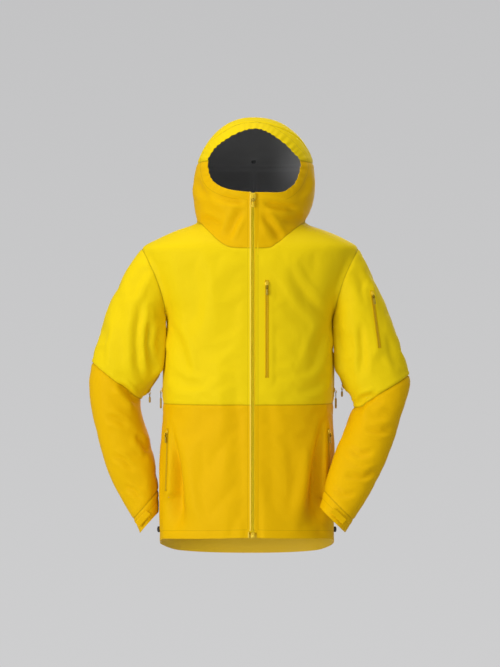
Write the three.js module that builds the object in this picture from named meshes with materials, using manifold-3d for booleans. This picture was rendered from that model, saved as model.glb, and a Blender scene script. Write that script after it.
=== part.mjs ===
// Hardshell jacket with a helmet hood, worn shape, zipped up, arms hanging with bent elbows.
//
// Garment frame while building: X to the wearer's left, Y to the back, Z up, in millimetres, with X = 0
// on the centre line, Y = 0 on the side seams and Z = 0 at the side hem's level. The exported group is
// moved so that its origin is the hang loop inside the back neck.
//
// Every fabric panel is cut out of one continuous skin: lofted bodies (trunk, sleeves, hood) are joined,
// the same bodies drawn in by the cloth's thickness are taken away, and region solids part the panels with
// the seam gap between them.

import * as THREE from 'three';
import { mergeVertices } from 'three/addons/utils/BufferGeometryUtils.js';
import Module from 'manifold-3d';

const wasm = await Module();
wasm.setup();

// ---- driving dimensions, millimetres ----
const CLOTH = 2.5;            // thickness of the three-layer shell with its seams
const SEAM = 0.5;             // gap between neighbouring panels
const FRONT = 148;            // how far the zip stands in front of the side seams
const FAR = 700;              // reach of the region solids
const HANG = [0, 82, 790];    // inside the hang loop at the back neck
const ZIP_X = 2;              // centre of the main zip
const ZIP_BOTTOM = 46;
const ZIP_TOP = 857;
const ZIP_HALF = 9;           // half width of chain and tapes together
const YOKE_Z = 358;           // colour break round the trunk
const HOOD_BREAK_Z = 936;     // colour break round the hood
const NECK_FRONT = [-148, 725];     // neck seam: [y, z] at the centre front, side and back
const NECK_SIDE = [-20, 788];
const NECK_BACK = [140, 792];
const HOOD_PIVOT = [-30, 880];      // the hood tilts about this [y, z]
const NAPE_ANGLE = 30;              // degrees of the nape's folding wedge
const BRIM_Y = -74;           // seam behind the brim
const HOOD_SEAM_X = 4;        // seam down the back of the hood
const CUFF_BAND = 34;
const TRUNK_SIDES = 36;
const HOOD_SIDES = 28;
const SLEEVE_SIDES = 20;
const ELBOW_STATION = 6;      // the first sleeve station that belongs to the forearm
const TRUNK_SQUARE = 2.3;     // how squared off the ovals are: 2 is an ellipse
const HOOD_SQUARE = 2.2;
const SLEEVE_SQUARE = 2.2;

const LEMON = 0xe6c81e;
const GOLD = 0xdfae0c;
const ZIP_GOLD = 0xd9b414;
const LINING = 0x4a4a4c;

// ---- solids ----
function solidOf(geometry) {
  const bare = geometry.clone();
  bare.deleteAttribute('normal');
  bare.deleteAttribute('uv');
  const merged = mergeVertices(bare, 1e-4);
  return new wasm.Manifold(new wasm.Mesh({
    numProp: 3,
    vertProperties: new Float32Array(merged.attributes.position.array),
    triVerts: new Uint32Array(merged.index.array),
  }));
}

function geometryOf(solid) {
  const mesh = solid.getMesh();
  const geometry = new THREE.BufferGeometry();
  geometry.setAttribute('position', new THREE.BufferAttribute(new Float32Array(mesh.vertProperties), 3));
  geometry.setIndex(new THREE.BufferAttribute(new Uint32Array(mesh.triVerts), 1));
  geometry.computeVertexNormals();
  return geometry;
}

// A closed body through rings of equally many points, with a fan over each end.
function loft(rings) {
  const count = rings[0].length;
  const points = rings.flat();
  const middle = (ring) => [0, 1, 2].map((k) => ring.reduce((sum, p) => sum + p[k], 0) / count);
  const first = points.push(middle(rings[0])) - 1;
  const last = points.push(middle(rings[rings.length - 1])) - 1;
  const top = (rings.length - 1) * count;
  const faces = [];
  for (let i = 0; i < count; i++) {
    const j = (i + 1) % count;
    for (let r = 0; r < rings.length - 1; r++) {
      const a = r * count;
      faces.push(a + i, a + j, a + count + j, a + i, a + count + j, a + count + i);
    }
    faces.push(first, j, i, last, top + i, top + j);
  }
  const geometry = new THREE.BufferGeometry();
  geometry.setAttribute('position', new THREE.Float32BufferAttribute(points.flat(), 3));
  geometry.setIndex(faces);
  const volume = faces.reduce((sum, _, k) => {
    if (k % 3) return sum;
    const [a, b, c] = [0, 1, 2].map((n) => new THREE.Vector3(...points[faces[k + n]]));
    return sum + a.dot(b.cross(c));
  }, 0);
  if (volume < 0) geometry.setIndex(faces.reverse());
  return solidOf(geometry);
}

const power = (value, exponent) => Math.sign(value) * Math.abs(value) ** exponent;

// A level oval: reach to the right, left, front and back of the axis, squared off by `square`.
function oval({ z, right, left, front, back }, inset, square, count) {
  const ring = [];
  for (let i = 0; i < count; i++) {
    const turn = (i / count) * 2 * Math.PI;
    const [c, s] = [power(Math.cos(turn), 2 / square), power(Math.sin(turn), 2 / square)];
    const x = c * ((c > 0 ? left : right) - inset);
    const y = s * ((s > 0 ? back : front) - inset);
    ring.push([x, y, z]);
  }
  return ring;
}

// A sleeve's ring, from the outer to the inner edge seen from the front, and `deep` to front and back.
function sleeveRing({ outer, inner, deep, y }, inset, count) {
  const [dx, dz] = [(outer[0] - inner[0]) / 2, (outer[1] - inner[1]) / 2];
  const shrink = 1 - inset / Math.hypot(dx, dz);
  const ring = [];
  for (let i = 0; i < count; i++) {
    const turn = (i / count) * 2 * Math.PI;
    const c = power(Math.cos(turn), 2 / SLEEVE_SQUARE) * shrink;
    const s = power(Math.sin(turn), 2 / SLEEVE_SQUARE);
    const middle = [0, 1].map((k) => (outer[k] + inner[k]) / 2);
    ring.push([middle[0] + c * dx, y + s * (deep - inset), middle[1] + c * dz]);
  }
  return ring;
}

// Prisms: an outline seen from the front, through all depths, and one seen from the side, through all
// widths.
function extruded(outline, low, high) {
  const shape = new THREE.Shape(outline.map(([u, v]) => new THREE.Vector2(u, v)));
  const geometry = new THREE.ExtrudeGeometry(shape, { depth: high - low, bevelEnabled: false });
  return geometry.translate(0, 0, low);
}

function fromFront(outline, low = -FAR, high = FAR) {
  return solidOf(extruded(outline, -high, -low).rotateX(Math.PI / 2));
}

function fromSide(outline, low = -FAR, high = FAR) {
  const turn = new THREE.Matrix4().set(0, 0, 1, 0, 1, 0, 0, 0, 0, 1, 0, 0, 0, 0, 0, 1);
  return solidOf(extruded(outline, low, high).applyMatrix4(turn));
}

function box(low, high) {
  const size = low.map((v, k) => high[k] - v);
  const geometry = new THREE.BoxGeometry(...size);
  return geometry.translate(...low.map((v, k) => v + size[k] / 2));
}

// Everything to one side of the front-view line from `a` to `b`, on the left of its direction.
function beside(a, b, shift = 0) {
  const along = new THREE.Vector2(b[0] - a[0], b[1] - a[1]).normalize();
  const across = [-along.y, along.x];
  const at = (s, t) => [a[0] + along.x * s + across[0] * t, a[1] + along.y * s + across[1] * t];
  return fromFront([at(-FAR, shift), at(FAR, shift), at(FAR, FAR), at(-FAR, FAR)]);
}

// ---- the body's stations ----
const TRUNK = [
  { z: -60, right: 222, left: 197, front: FRONT, back: 142 },
  { z: 24, right: 222, left: 197, front: FRONT, back: 142 },
  { z: 123, right: 223, left: 198, front: FRONT, back: 140 },
  { z: 230, right: 222, left: 199, front: FRONT, back: 136 },
  { z: 330, right: 215, left: 195, front: FRONT, back: 134 },
  { z: 426, right: 213, left: 197, front: FRONT, back: 138 },
  { z: 515, right: 208, left: 196, front: FRONT, back: 146 },
  { z: 578, right: 206, left: 197, front: FRONT, back: 150 },
  { z: 612, right: 222, left: 210, front: FRONT, back: 150 },
  { z: 655, right: 240, left: 228, front: FRONT, back: 146 },
  { z: 700, right: 258, left: 246, front: FRONT, back: 134 },
  { z: 731, right: 266, left: 257, front: 144, back: 121 },
  { z: 753, right: 230, left: 225, front: 132, back: 106 },
  { z: 774, right: 184, left: 177, front: 112, back: 90 },
  { z: 792, right: 124, left: 120, front: 84, back: 70 },
];

const HOOD = [
  { z: 690, right: 112, left: 112, front: 147, back: 98 },
  { z: 731, right: 118, left: 117, front: FRONT, back: 95 },
  { z: 765, right: 125, left: 122, front: FRONT, back: 91 },
  { z: 796, right: 133, left: 128, front: FRONT, back: 90 },
  { z: 818, right: 138, left: 140, front: FRONT, back: 95 },
  { z: 842, right: 141, left: 148, front: FRONT, back: 104 },
  { z: 872, right: 143, left: 152, front: FRONT, back: 120 },
  { z: 905, right: 140, left: 152, front: 146, back: 135 },
  { z: 936, right: 133, left: 148, front: 141, back: 144 },
  { z: 964, right: 122, left: 139, front: 132, back: 145 },
  { z: 992, right: 104, left: 122, front: 118, back: 132 },
  { z: 1014, right: 84, left: 101, front: 99, back: 110 },
  { z: 1032, right: 61, left: 76, front: 71, back: 80 },
  { z: 1044, right: 33, left: 45, front: 40, back: 45 },
  { z: 1048, right: 11, left: 19, front: 14, back: 18 },
];

const SLEEVES = {
  right: {
    side: -1,
    stations: [
      { outer: [-226, 742], inner: [-168, 592], deep: 70, y: 0 },
      { outer: [-266, 730], inner: [-207, 577], deep: 78, y: 0 },
      { outer: [-312, 665], inner: [-213, 515], deep: 84, y: 0 },
      { outer: [-351, 578], inner: [-217, 462], deep: 84, y: 0 },
      { outer: [-380, 491], inner: [-223, 432], deep: 80, y: 2 },
      { outer: [-392, 424], inner: [-243, 401], deep: 72, y: 4 },
      { outer: [-393, 392], inner: [-265, 373], deep: 66, y: 5 },
      { outer: [-387, 339], inner: [-269, 339], deep: 62, y: 6 },
      { outer: [-370, 266], inner: [-250, 273], deep: 58, y: 8 },
      { outer: [-344, 184], inner: [-233, 208], deep: 54, y: 10 },
      { outer: [-310, 119], inner: [-227, 152], deep: 50, y: 12 },
      { outer: [-271, 46], inner: [-227, 96], deep: 47, y: 12 },
    ],
    wristward: [-4, 0, -30],
    elbow: [[-271, 370], [-387, 457]],
    armhole: [[-207, 578], [-266, 731]],
    gap: [[-225, -200], [-225, 240], [-217.5, 330], [-216, 440], [-211, 515]],
  },
  left: {
    side: 1,
    stations: [
      { outer: [222, 742], inner: [163, 592], deep: 70, y: 0 },
      { outer: [257, 730], inner: [199, 577], deep: 78, y: 0 },
      { outer: [291, 665], inner: [203, 515], deep: 84, y: 0 },
      { outer: [330, 578], inner: [206, 465], deep: 84, y: -2 },
      { outer: [363, 491], inner: [211, 432], deep: 80, y: -8 },
      { outer: [380, 424], inner: [226, 393], deep: 72, y: -18 },
      { outer: [379, 394], inner: [245, 361], deep: 66, y: -26 },
      { outer: [360, 338], inner: [235, 331], deep: 62, y: -45 },
      { outer: [331, 256], inner: [203, 256], deep: 58, y: -76 },
      { outer: [299, 192], inner: [180, 195], deep: 55, y: -107 },
      { outer: [265, 131], inner: [165, 137], deep: 51, y: -133 },
      { outer: [219, 61], inner: [160, 118], deep: 48, y: -153 },
    ],
    wristward: [-15, -6, -24],
    elbow: [[378, 426], [249, 353]],
    armhole: [[257, 731], [199, 578]],
    gap: [[203, 515], [200, 440], [199.5, 330], [201, 240], [201, -200]],
  },
};

const FACE = [
  [2, 1012], [-39, 999], [-81, 973], [-98, 952], [-105, 935], [-100, 900], [-84, 879], [-53, 865],
  [-11, 859], [68, 859], [87, 868], [105, 888], [116, 932], [97, 956], [77, 976], [35, 1005],
];

// ---- skin ----
const trunkLoft = (inset) => loft(TRUNK.map((s) => oval(s, inset, TRUNK_SQUARE, TRUNK_SIDES)));
const hoodLoft = (inset) => loft(HOOD.map((s) => oval({ ...s, z: s.z - (s.z > 1000 ? inset : 0) },
  inset, HOOD_SQUARE, HOOD_SIDES)));

function sleeveLoft({ stations, wristward }, inset) {
  const rings = stations.map((s) => sleeveRing(s, inset, SLEEVE_SIDES));
  if (inset !== 0) rings.push(rings[rings.length - 1].map((p) => p.map((v, k) => v + wristward[k])));
  return loft(rings);
}

const outerHood = hoodLoft(0);
let outer = trunkLoft(0).add(outerHood);
let inner = trunkLoft(CLOTH).add(hoodLoft(CLOTH));
for (const sleeve of Object.values(SLEEVES)) {
  outer = outer.add(sleeveLoft(sleeve, 0));
  inner = inner.add(sleeveLoft(sleeve, CLOTH));
}
const hemProfile = [[-FAR, 47], [-FRONT, 46], [-60, 37], [20, 20], [90, -4], [142, -16], [FAR, -18],
  [FAR, -FAR], [-FAR, -FAR]];
const skin = outer.subtract(inner).subtract(fromSide(hemProfile)).subtract(fromFront(FACE, -FAR, -40));

// Regions. `grow` widens one by the seam gap, so that what is left beside it stands clear.
function aboveNeck(grow) {
  const [f, s, b] = [NECK_FRONT, NECK_SIDE, NECK_BACK].map(([y, z]) => [y, z - grow]);
  const slope = (s[1] - f[1]) / (s[0] - f[0]);
  const outline = [[-FAR, f[1] - slope * (FAR + f[0])], s, b, [FAR, b[1]], [FAR, 2 * FAR], [-FAR, 2 * FAR]];
  return fromSide(outline).intersect(hoodLoft(-grow));
}

function sleeveRegion({ side, armhole, gap, stations, wristward }, grow) {
  const shift = -side * grow;
  const [low, high] = side < 0 ? armhole : [...armhole].reverse();
  const rise = (high[0] - low[0]) / (high[1] - low[1]);
  const edge = side < 0 ? gap : [...gap].reverse();
  const outline = [...edge, low, [low[0] + rise * 200, low[1] + 200]].map(([x, z]) => [x + shift, z]);
  outline.push([side * FAR, low[1] + 200], [side * FAR, -200]);
  const forearm = { stations: stations.slice(ELBOW_STATION), wristward };
  return fromFront(side < 0 ? outline.reverse() : outline).add(sleeveLoft(forearm, -grow - 3));
}

const group = new THREE.Group();
const garment = new THREE.Group();
garment.position.set(...HANG.map((v) => -v));
group.add(garment);

function addPart(name, shape, colour, finish = {}) {
  const geometry = shape.isBufferGeometry ? shape : geometryOf(shape);
  const look = { color: colour, roughness: 0.75, metalness: 0, ...finish };
  const material = new THREE.MeshStandardMaterial(look);
  const mesh = new THREE.Mesh(geometry, material);
  mesh.name = name;
  garment.add(mesh);
  return mesh;
}

// Trunk: two fronts and a back, each parted at the yoke line, and a slot down the front for the zip.
const zipSlot = solidOf(box([ZIP_X - ZIP_HALF - SEAM, -FAR, -100], [ZIP_X + ZIP_HALF + SEAM, -60, 900]));
let trunk = skin.subtract(aboveNeck(SEAM)).subtract(zipSlot);
for (const sleeve of Object.values(SLEEVES)) trunk = trunk.subtract(sleeveRegion(sleeve, SEAM));
const halfSeam = SEAM / 2;
const frontHalf = fromSide([[-FAR, -FAR], [-halfSeam, -FAR], [-halfSeam, 2 * FAR], [-FAR, 2 * FAR]]);
const backHalf = fromSide([[halfSeam, -FAR], [FAR, -FAR], [FAR, 2 * FAR], [halfSeam, 2 * FAR]]);
const aboveYoke = fromSide([[-FAR, YOKE_Z + halfSeam], [FAR, YOKE_Z + halfSeam], [FAR, 2 * FAR],
  [-FAR, 2 * FAR]]);
const belowYoke = fromSide([[-FAR, -FAR], [FAR, -FAR], [FAR, YOKE_Z - halfSeam],
  [-FAR, YOKE_Z - halfSeam]]);
const wearersLeft = fromFront([[ZIP_X, -FAR], [FAR, -FAR], [FAR, 2 * FAR], [ZIP_X, 2 * FAR]]);
const wearersRight = fromFront([[-FAR, -FAR], [ZIP_X, -FAR], [ZIP_X, 2 * FAR], [-FAR, 2 * FAR]]);
for (const [level, zone, colour] of [['upper', aboveYoke, LEMON], ['lower', belowYoke, GOLD]]) {
  const layer = trunk.intersect(zone);
  addPart(`back_${level}`, layer.intersect(backHalf), colour);
  addPart(`front_left_${level}`, layer.intersect(frontHalf).intersect(wearersLeft), colour);
  addPart(`front_right_${level}`, layer.intersect(frontHalf).intersect(wearersRight), colour);
}

// Sleeves: upper sleeve to the elbow seam, forearm below it, and a band round the cuff.
for (const [name, sleeve] of Object.entries(SLEEVES)) {
  const [elbowLow, elbowHigh] = sleeve.elbow;
  const whole = skin.intersect(sleeveRegion(sleeve, 0));
  addPart(`sleeve_upper_${name}`, whole.subtract(beside(elbowLow, elbowHigh, -halfSeam)), LEMON);
  const forearm = whole.intersect(beside(elbowLow, elbowHigh, halfSeam));
  const cuff = sleeve.stations[sleeve.stations.length - 1];
  const ends = sleeve.side < 0 ? [cuff.inner, cuff.outer] : [cuff.outer, cuff.inner];
  const band = beside(...ends, -CUFF_BAND);
  addPart(`sleeve_lower_${name}`, forearm.subtract(beside(...ends, -CUFF_BAND - SEAM)), GOLD);
  addPart(`cuff_band_${name}`, forearm.intersect(band), GOLD);
}

// Collar and hood.
const stand = skin.intersect(aboveNeck(0)).subtract(zipSlot);
const [pivotY, pivotZ] = HOOD_PIVOT;
const drop = Math.tan(THREE.MathUtils.degToRad(NAPE_ANGLE));
const sill = (y, gap) => [y, pivotZ + 12 * (pivotY - y) / 170 + gap];
const collarZone = fromSide([[-FAR, -FAR], [FAR, -FAR], [FAR, pivotZ - drop * (FAR - pivotY)],
  [pivotY, pivotZ], sill(-200, 0), [-FAR, 900]]);
const hoodZone = fromSide([sill(-200, SEAM), sill(pivotY, SEAM), [FAR, pivotZ + SEAM], [FAR, 2 * FAR],
  [-FAR, 2 * FAR], [-FAR, 900]]);
const napeZone = fromSide([[pivotY + 6, pivotZ], [pivotY + 6, pivotZ - 6 * drop + SEAM],
  [FAR, pivotZ - drop * (FAR - pivotY) + SEAM], [FAR, pivotZ]]);
const collar = stand.intersect(collarZone);
addPart('collar_left', collar.intersect(wearersLeft), GOLD);
const nape = stand.intersect(napeZone);
addPart('hood_nape_gusset', nape, GOLD);
addPart('collar_right', collar.intersect(wearersRight), GOLD);
const hood = stand.intersect(hoodZone);
const aboveBreak = fromSide([[-FAR, HOOD_BREAK_Z + halfSeam], [FAR, HOOD_BREAK_Z + halfSeam],
  [FAR, 2 * FAR], [-FAR, 2 * FAR]]);
const belowBreak = fromSide([[-FAR, -FAR], [FAR, -FAR], [FAR, HOOD_BREAK_Z - halfSeam],
  [-FAR, HOOD_BREAK_Z - halfSeam]]);
const brimZone = fromSide([[-FAR, -FAR], [BRIM_Y, -FAR], [BRIM_Y, 2 * FAR], [-FAR, 2 * FAR]]);
const crownZone = fromSide([[BRIM_Y + SEAM, -FAR], [FAR, -FAR], [FAR, 2 * FAR], [BRIM_Y + SEAM, 2 * FAR]]);
const dome = hood.intersect(aboveBreak);
addPart('hood_brim', dome.intersect(brimZone), LEMON);
addPart('hood_crown', dome.intersect(crownZone), LEMON);
const sides = hood.intersect(belowBreak);
const eastOf = (x) => fromFront([[x, -FAR], [FAR, -FAR], [FAR, 2 * FAR], [x, 2 * FAR]]);
const westOf = (x) => fromFront([[-FAR, -FAR], [x, -FAR], [x, 2 * FAR], [-FAR, 2 * FAR]]);
addPart('hood_side_left', sides.intersect(eastOf(HOOD_SEAM_X)), GOLD);
addPart('hood_side_right', sides.intersect(westOf(HOOD_SEAM_X - SEAM)), GOLD);

// ---- hardware ----
const PLUMB = new THREE.Vector3(0, 0, 1);

// A frame on a surface: local Z runs along `from` to `to`, local -Y points outward, local X lies across.
function surfaceFrame(from, to, outward) {
  const along = new THREE.Vector3(...to).sub(new THREE.Vector3(...from));
  const length = along.length();
  const up = along.normalize();
  const depth = new THREE.Vector3(...outward).negate();
  depth.addScaledVector(up, -depth.dot(up)).normalize();
  const across = new THREE.Vector3().crossVectors(depth, up);
  const matrix = new THREE.Matrix4().makeBasis(across, depth, up).setPosition(...from);
  return { matrix, length, across, depth, up };
}

function outlineBody(outline, near, far) {
  return extruded(outline, -far, -near).rotateX(Math.PI / 2);
}

function mirrored(half) {
  return [...half, ...half.map(([x, z]) => [-x, z]).reverse()];
}

// One zip: tape let into the cloth's face, a slider that travels `travel` along it, and its hanging pull.
// `at` is the height of the slider's lower end along the zip, `lift` is how far the pull stands off, and a
// pull that `lies` stays in line with a leaning zip instead of hanging plumb.
function addZip(name, zip) {
  const { from, to, outward, at, travel, thick = 3.2, lift = 1.9, long = 22, lies = false } = zip;
  const { matrix, length, up, depth, across } = surfaceFrame(from, to, outward);
  addPart(`${name}_tape`, box([-4.5, -1.5, 0], [4.5, -0.5, length]).applyMatrix4(matrix), ZIP_GOLD);
  const face = -1.8 - thick;
  const sliderHalf = [[1.8, at], [3.6, at + 3], [4.1, at + 8.5], [2.6, at + 11]];
  const slider = outlineBody(mirrored(sliderHalf), face, -1.8);
  const sliderMesh = addPart(`${name}_slider`, slider.applyMatrix4(matrix), ZIP_GOLD, { metalness: 0.6 });
  const way = up.clone().multiplyScalar(Math.sign(travel));
  sliderMesh.userData.slide = { axis: way.toArray(), reach: Math.abs(travel) };
  const pivot = new THREE.Vector3(0, face - lift, at + 1).applyMatrix4(matrix);
  const level = new THREE.Vector3(depth.x, depth.y, 0).normalize();
  const sideways = new THREE.Vector3().crossVectors(level, PLUMB);
  const hanging = new THREE.Matrix4().makeBasis(sideways, level, PLUMB).setPosition(pivot);
  if (lies) hanging.copy(matrix).setPosition(pivot);
  const pullHalf = [[1.2, 1.2], [1.2, -5], [2.8, -8], [3, -long + 2], [2, -long]];
  const pull = outlineBody(mirrored(pullHalf), -0.7, 0.7);
  const pullMesh = addPart(`${name}_pull`, pull.applyMatrix4(hanging), ZIP_GOLD);
  const pin = (lies ? across : sideways).clone().negate();
  pullMesh.userData.hinge = { point: pivot.toArray(), axis: pin.toArray() };
}

const pushed = (point, outward, distance) => {
  const push = new THREE.Vector3(...outward).normalize().multiplyScalar(distance);
  return new THREE.Vector3(...point).add(push).toArray();
};

// Main zip: the box at the foot, then tapes either side of the chain.
const chainFoot = ZIP_BOTTOM + 12.4;
const back = -FRONT + CLOTH;
for (const [side, sign] of [['left', 1], ['right', -1]]) {
  const edges = [2.6 * sign, ZIP_HALF * sign].sort((a, b) => a - b).map((x) => x + ZIP_X);
  addPart(`main_zip_tape_${side}`, box([edges[0], -147.2, chainFoot], [edges[1], back, ZIP_TOP]), ZIP_GOLD);
}
const chain = box([ZIP_X - 2.3, -149.4, chainFoot], [ZIP_X + 2.3, back, ZIP_TOP - 4]);
addPart('main_zip_chain', chain, ZIP_GOLD);
addPart('main_zip_box', outlineBody(mirrored([[5, 0], [6.5, 1.5], [6.5, 10.5], [5, 12]])
  .map(([x, z]) => [x + ZIP_X, z + ZIP_BOTTOM]), -151.5, -146), ZIP_GOLD, { metalness: 0.5 });
const sliderFoot = 836;
const pullHinge = [ZIP_X, -155.9, sliderFoot + 6];
const mainSlider = outlineBody(mirrored([[3.2, 0], [6.8, 5], [7.4, 13], [5, 17]])
  .map(([x, z]) => [x + ZIP_X, z + sliderFoot]), -153.8, -149.8);
addPart('main_zip_slider', mainSlider, ZIP_GOLD, { metalness: 0.7 })
  .userData.slide = { axis: [0, 0, -1], reach: sliderFoot - chainFoot - 6 };
const mainPull = outlineBody(mirrored([[1.6, 1.5], [1.6, -4], [3.6, -7], [3.8, -17], [2.6, -20]])
  .map(([x, z]) => [x + ZIP_X, z + pullHinge[2]]), pullHinge[1] - 0.75, pullHinge[1] + 0.75);
addPart('main_zip_pull', mainPull, ZIP_GOLD).userData.hinge = { point: pullHinge, axis: [-1, 0, 0] };

addZip('chest_zip', { from: [35, -147.3, 422], to: [35, -147.3, 652], outward: [0, -1, 0], at: 215,
  travel: -200 });
const pocketOut = [0.44, -0.87, 0.2];
addZip('sleeve_zip', { from: pushed([301.5, -84.4, 491], pocketOut, 3.4),
  to: pushed([284, -62.6, 628], pocketOut, 3.4), outward: pocketOut, at: 126, travel: -112, lies: true });
const pits = {
  right: { trunk: [[-215, -6, 372], [-213.2, -6, 470]], under: [[-256, 1, 383], [-228, 1, 424]],
    underOut: [0.81, -0.1, -0.57], handFrom: [-203.3, -70.9, 150], handTo: [-198.6, -69.8, 300],
    handOut: [-0.85, -0.53, 0] },
  left: { trunk: [[197, -6, 372], [197.8, -6, 470]], under: [[226, -18, 393.5], [213, -10, 427]],
    underOut: [-0.92, 0.13, -0.37], handFrom: [181.3, -71, 150], handTo: [179.4, -69.5, 300],
    handOut: [0.87, -0.49, 0] },
};
for (const [name, pit] of Object.entries(pits)) {
  const outward = [SLEEVES[name].side, 0, 0];
  addZip(`pit_zip_trunk_${name}`, { from: pit.trunk[0], to: pit.trunk[1], outward, at: 12, travel: 50,
    thick: 1.8, long: 40 });
  addZip(`pit_zip_sleeve_${name}`, { from: pushed(pit.under[0], pit.underOut, 2.4),
    to: pushed(pit.under[1], pit.underOut, 2.4), outward: pit.underOut, at: 2, travel: 20, thick: 1.8,
    lift: 2.6 });
  addZip(`hand_zip_${name}`, { from: pushed(pit.handFrom, pit.handOut, 2.3),
    to: pushed(pit.handTo, pit.handOut, 2.3), outward: pit.handOut, at: 136, travel: -130, thick: 2.4 });
}

// Cuff tabs: hook-and-loop straps sewn at one end across the front of each cuff.
const tabs = {
  right: { middle: [-262, -39.5, 82], along: [-0.66, 0, -0.75], outward: [0, -1, 0] },
  left: { middle: [201, -198.5, 102], along: [0.72, 0, -0.695], outward: [0.1, -0.93, 0.34] },
};
for (const [name, { middle, along, outward }] of Object.entries(tabs)) {
  const far = middle.map((v, k) => v + along[k]);
  const { matrix, across, up } = surfaceFrame(middle, far, outward);
  const strap = outlineBody([[-8, -20], [8, -20], [8, 15], [5, 20], [-5, 20], [-8, 15]], -1, 1);
  const mesh = addPart(`cuff_tab_${name}`, strap.applyMatrix4(matrix), GOLD);
  const sewn = new THREE.Vector3(...middle).addScaledVector(up, -20);
  mesh.userData.hinge = { point: sewn.toArray(), axis: across.toArray() };
}

// Inside pieces that follow the front: storm flap, chin guard and pocket bags.
const layer = (from, to) => trunkLoft(from).add(hoodLoft(from)).subtract(trunkLoft(to).add(hoodLoft(to)));
const pane = (x0, x1, z0, z1) => solidOf(box([x0, -FAR, z0], [x1, -20, z1]));
const hoodLayer = (from, to) => hoodLoft(from).subtract(hoodLoft(to));
const trunkLayer = (from, to) => trunkLoft(from).subtract(trunkLoft(to));
addPart('storm_flap', layer(3.4, 5).intersect(pane(ZIP_X - 20, ZIP_X + 20, 52, 848)), GOLD);
addPart('chin_guard', hoodLayer(5.4, 7.6).intersect(pane(ZIP_X - 34, ZIP_X + 34, 806, 850)), LINING);
addPart('chest_pocket_bag', trunkLayer(3.4, 5.6).intersect(pane(28, 150, 440, 640)), LINING);
addPart('hand_pocket_bag_right', trunkLayer(3.4, 5.6).intersect(pane(-190, -40, 110, 320)), LINING);
addPart('hand_pocket_bag_left', trunkLayer(3.4, 5.6).intersect(pane(44, 170, 110, 320)), LINING);

// Hang loop, hem cord locks and the hood's rear adjuster.
const knots = [[-30, 84.5, 772], [-24, 83.5, 788], [-10, 82.5, 797], [10, 82.5, 797], [24, 83.5, 788],
  [30, 84.5, 772]];
const extrudePath = new THREE.CatmullRomCurve3(knots.map((p) => new THREE.Vector3(...p)));
const corners = [[-0.8, -4], [0.8, -4], [0.8, 4], [-0.8, 4]];
const webbing = new THREE.Shape(corners.map((p) => new THREE.Vector2(...p)));
const loop = new THREE.ExtrudeGeometry(webbing, { steps: 14, bevelEnabled: false, extrudePath });
addPart('hang_loop', loop, LINING);
addPart('hem_cord_lock_right', box([-218, -9, 46], [-210.4, 9, 60]), LINING);
addPart('hem_cord_lock_left', box([185.4, -9, 46], [193, 9, 60]), LINING);
addPart('hood_rear_adjuster', box([-3, 146, 948], [11, 151, 974]), LINING);

export default group;
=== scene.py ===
"""Hardshell jacket, zipped up with the hood raised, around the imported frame.

Everything is worked out in the garment's own millimetres, X to the wearer's left, Y to the back and Z up,
with the side seams at Y = 0, and moved into the frame by `row`, whose origin is the hang loop. The cloth is
made as one skin: a trunk and hood that are lofted and fused, and sleeves lofted onto the armholes. The skin
is scored along the seams, given its folds, draped by a short cloth simulation, and parted into its panels.
"""
import math

import bmesh
import bpy
import numpy as np
from mathutils import Matrix, Vector, noise
from mathutils.kdtree import KDTree


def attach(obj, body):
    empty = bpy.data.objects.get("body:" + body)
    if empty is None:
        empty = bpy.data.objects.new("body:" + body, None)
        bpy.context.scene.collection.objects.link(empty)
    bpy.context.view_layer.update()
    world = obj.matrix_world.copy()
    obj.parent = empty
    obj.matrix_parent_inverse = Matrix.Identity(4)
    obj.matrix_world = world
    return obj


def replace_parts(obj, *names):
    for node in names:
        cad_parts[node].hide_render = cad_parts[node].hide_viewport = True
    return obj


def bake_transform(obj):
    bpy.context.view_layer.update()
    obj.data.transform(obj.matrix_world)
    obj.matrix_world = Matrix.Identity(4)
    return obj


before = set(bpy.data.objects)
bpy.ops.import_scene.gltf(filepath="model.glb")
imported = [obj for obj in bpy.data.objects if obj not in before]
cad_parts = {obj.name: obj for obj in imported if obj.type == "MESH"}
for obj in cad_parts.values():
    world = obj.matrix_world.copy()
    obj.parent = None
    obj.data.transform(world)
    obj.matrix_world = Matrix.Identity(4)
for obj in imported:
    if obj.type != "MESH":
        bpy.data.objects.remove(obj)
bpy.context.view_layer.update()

HANG = np.array([0.0, 82.0, 790.0])
FAR = 500.0
MM = 0.001
CLOTH = 1.3
ZIP_X = 2.0
ZIP_FOOT = 46.0
SLOT = ([58, 64], [9.0, 5.2])
YOKE = 358.0
HOOD_BREAK = 936.0
VOXEL = 5.0


def row(points):
    return (np.asarray(points, float) - HANG) * MM


# ---------------------------------------------------------------- stage, camera and lights
def make_stage():
    bpy.ops.mesh.primitive_circle_add(vertices=96, radius=2.9, fill_type="NGON", location=(0, 0, -1.59))
    floor = bpy.context.object
    floor.name = "floor"
    floor.data.materials.append(plain_material("floor_paper", (0.60, 0.60, 0.605), 0.9))


def make_camera():
    data = bpy.data.cameras.new("camera")
    data.sensor_fit = "HORIZONTAL"
    data.sensor_width = 36.0
    data.lens = 148.8
    data.clip_end = 50.0
    camera = bpy.data.objects.new("camera", data)
    camera.location = row([-4.8, -5000.0, 526.0])
    camera.rotation_euler = (math.pi / 2, 0, 0)
    bpy.context.scene.collection.objects.link(camera)
    bpy.context.scene.camera = camera


def area_light(name, place, target, size, power):
    data = bpy.data.lights.new(name, "AREA")
    data.size = size
    data.energy = power
    light = bpy.data.objects.new(name, data)
    light.location = place
    light.rotation_euler = (Vector(target) - Vector(place)).to_track_quat("-Z", "Y").to_euler()
    bpy.context.scene.collection.objects.link(light)


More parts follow.
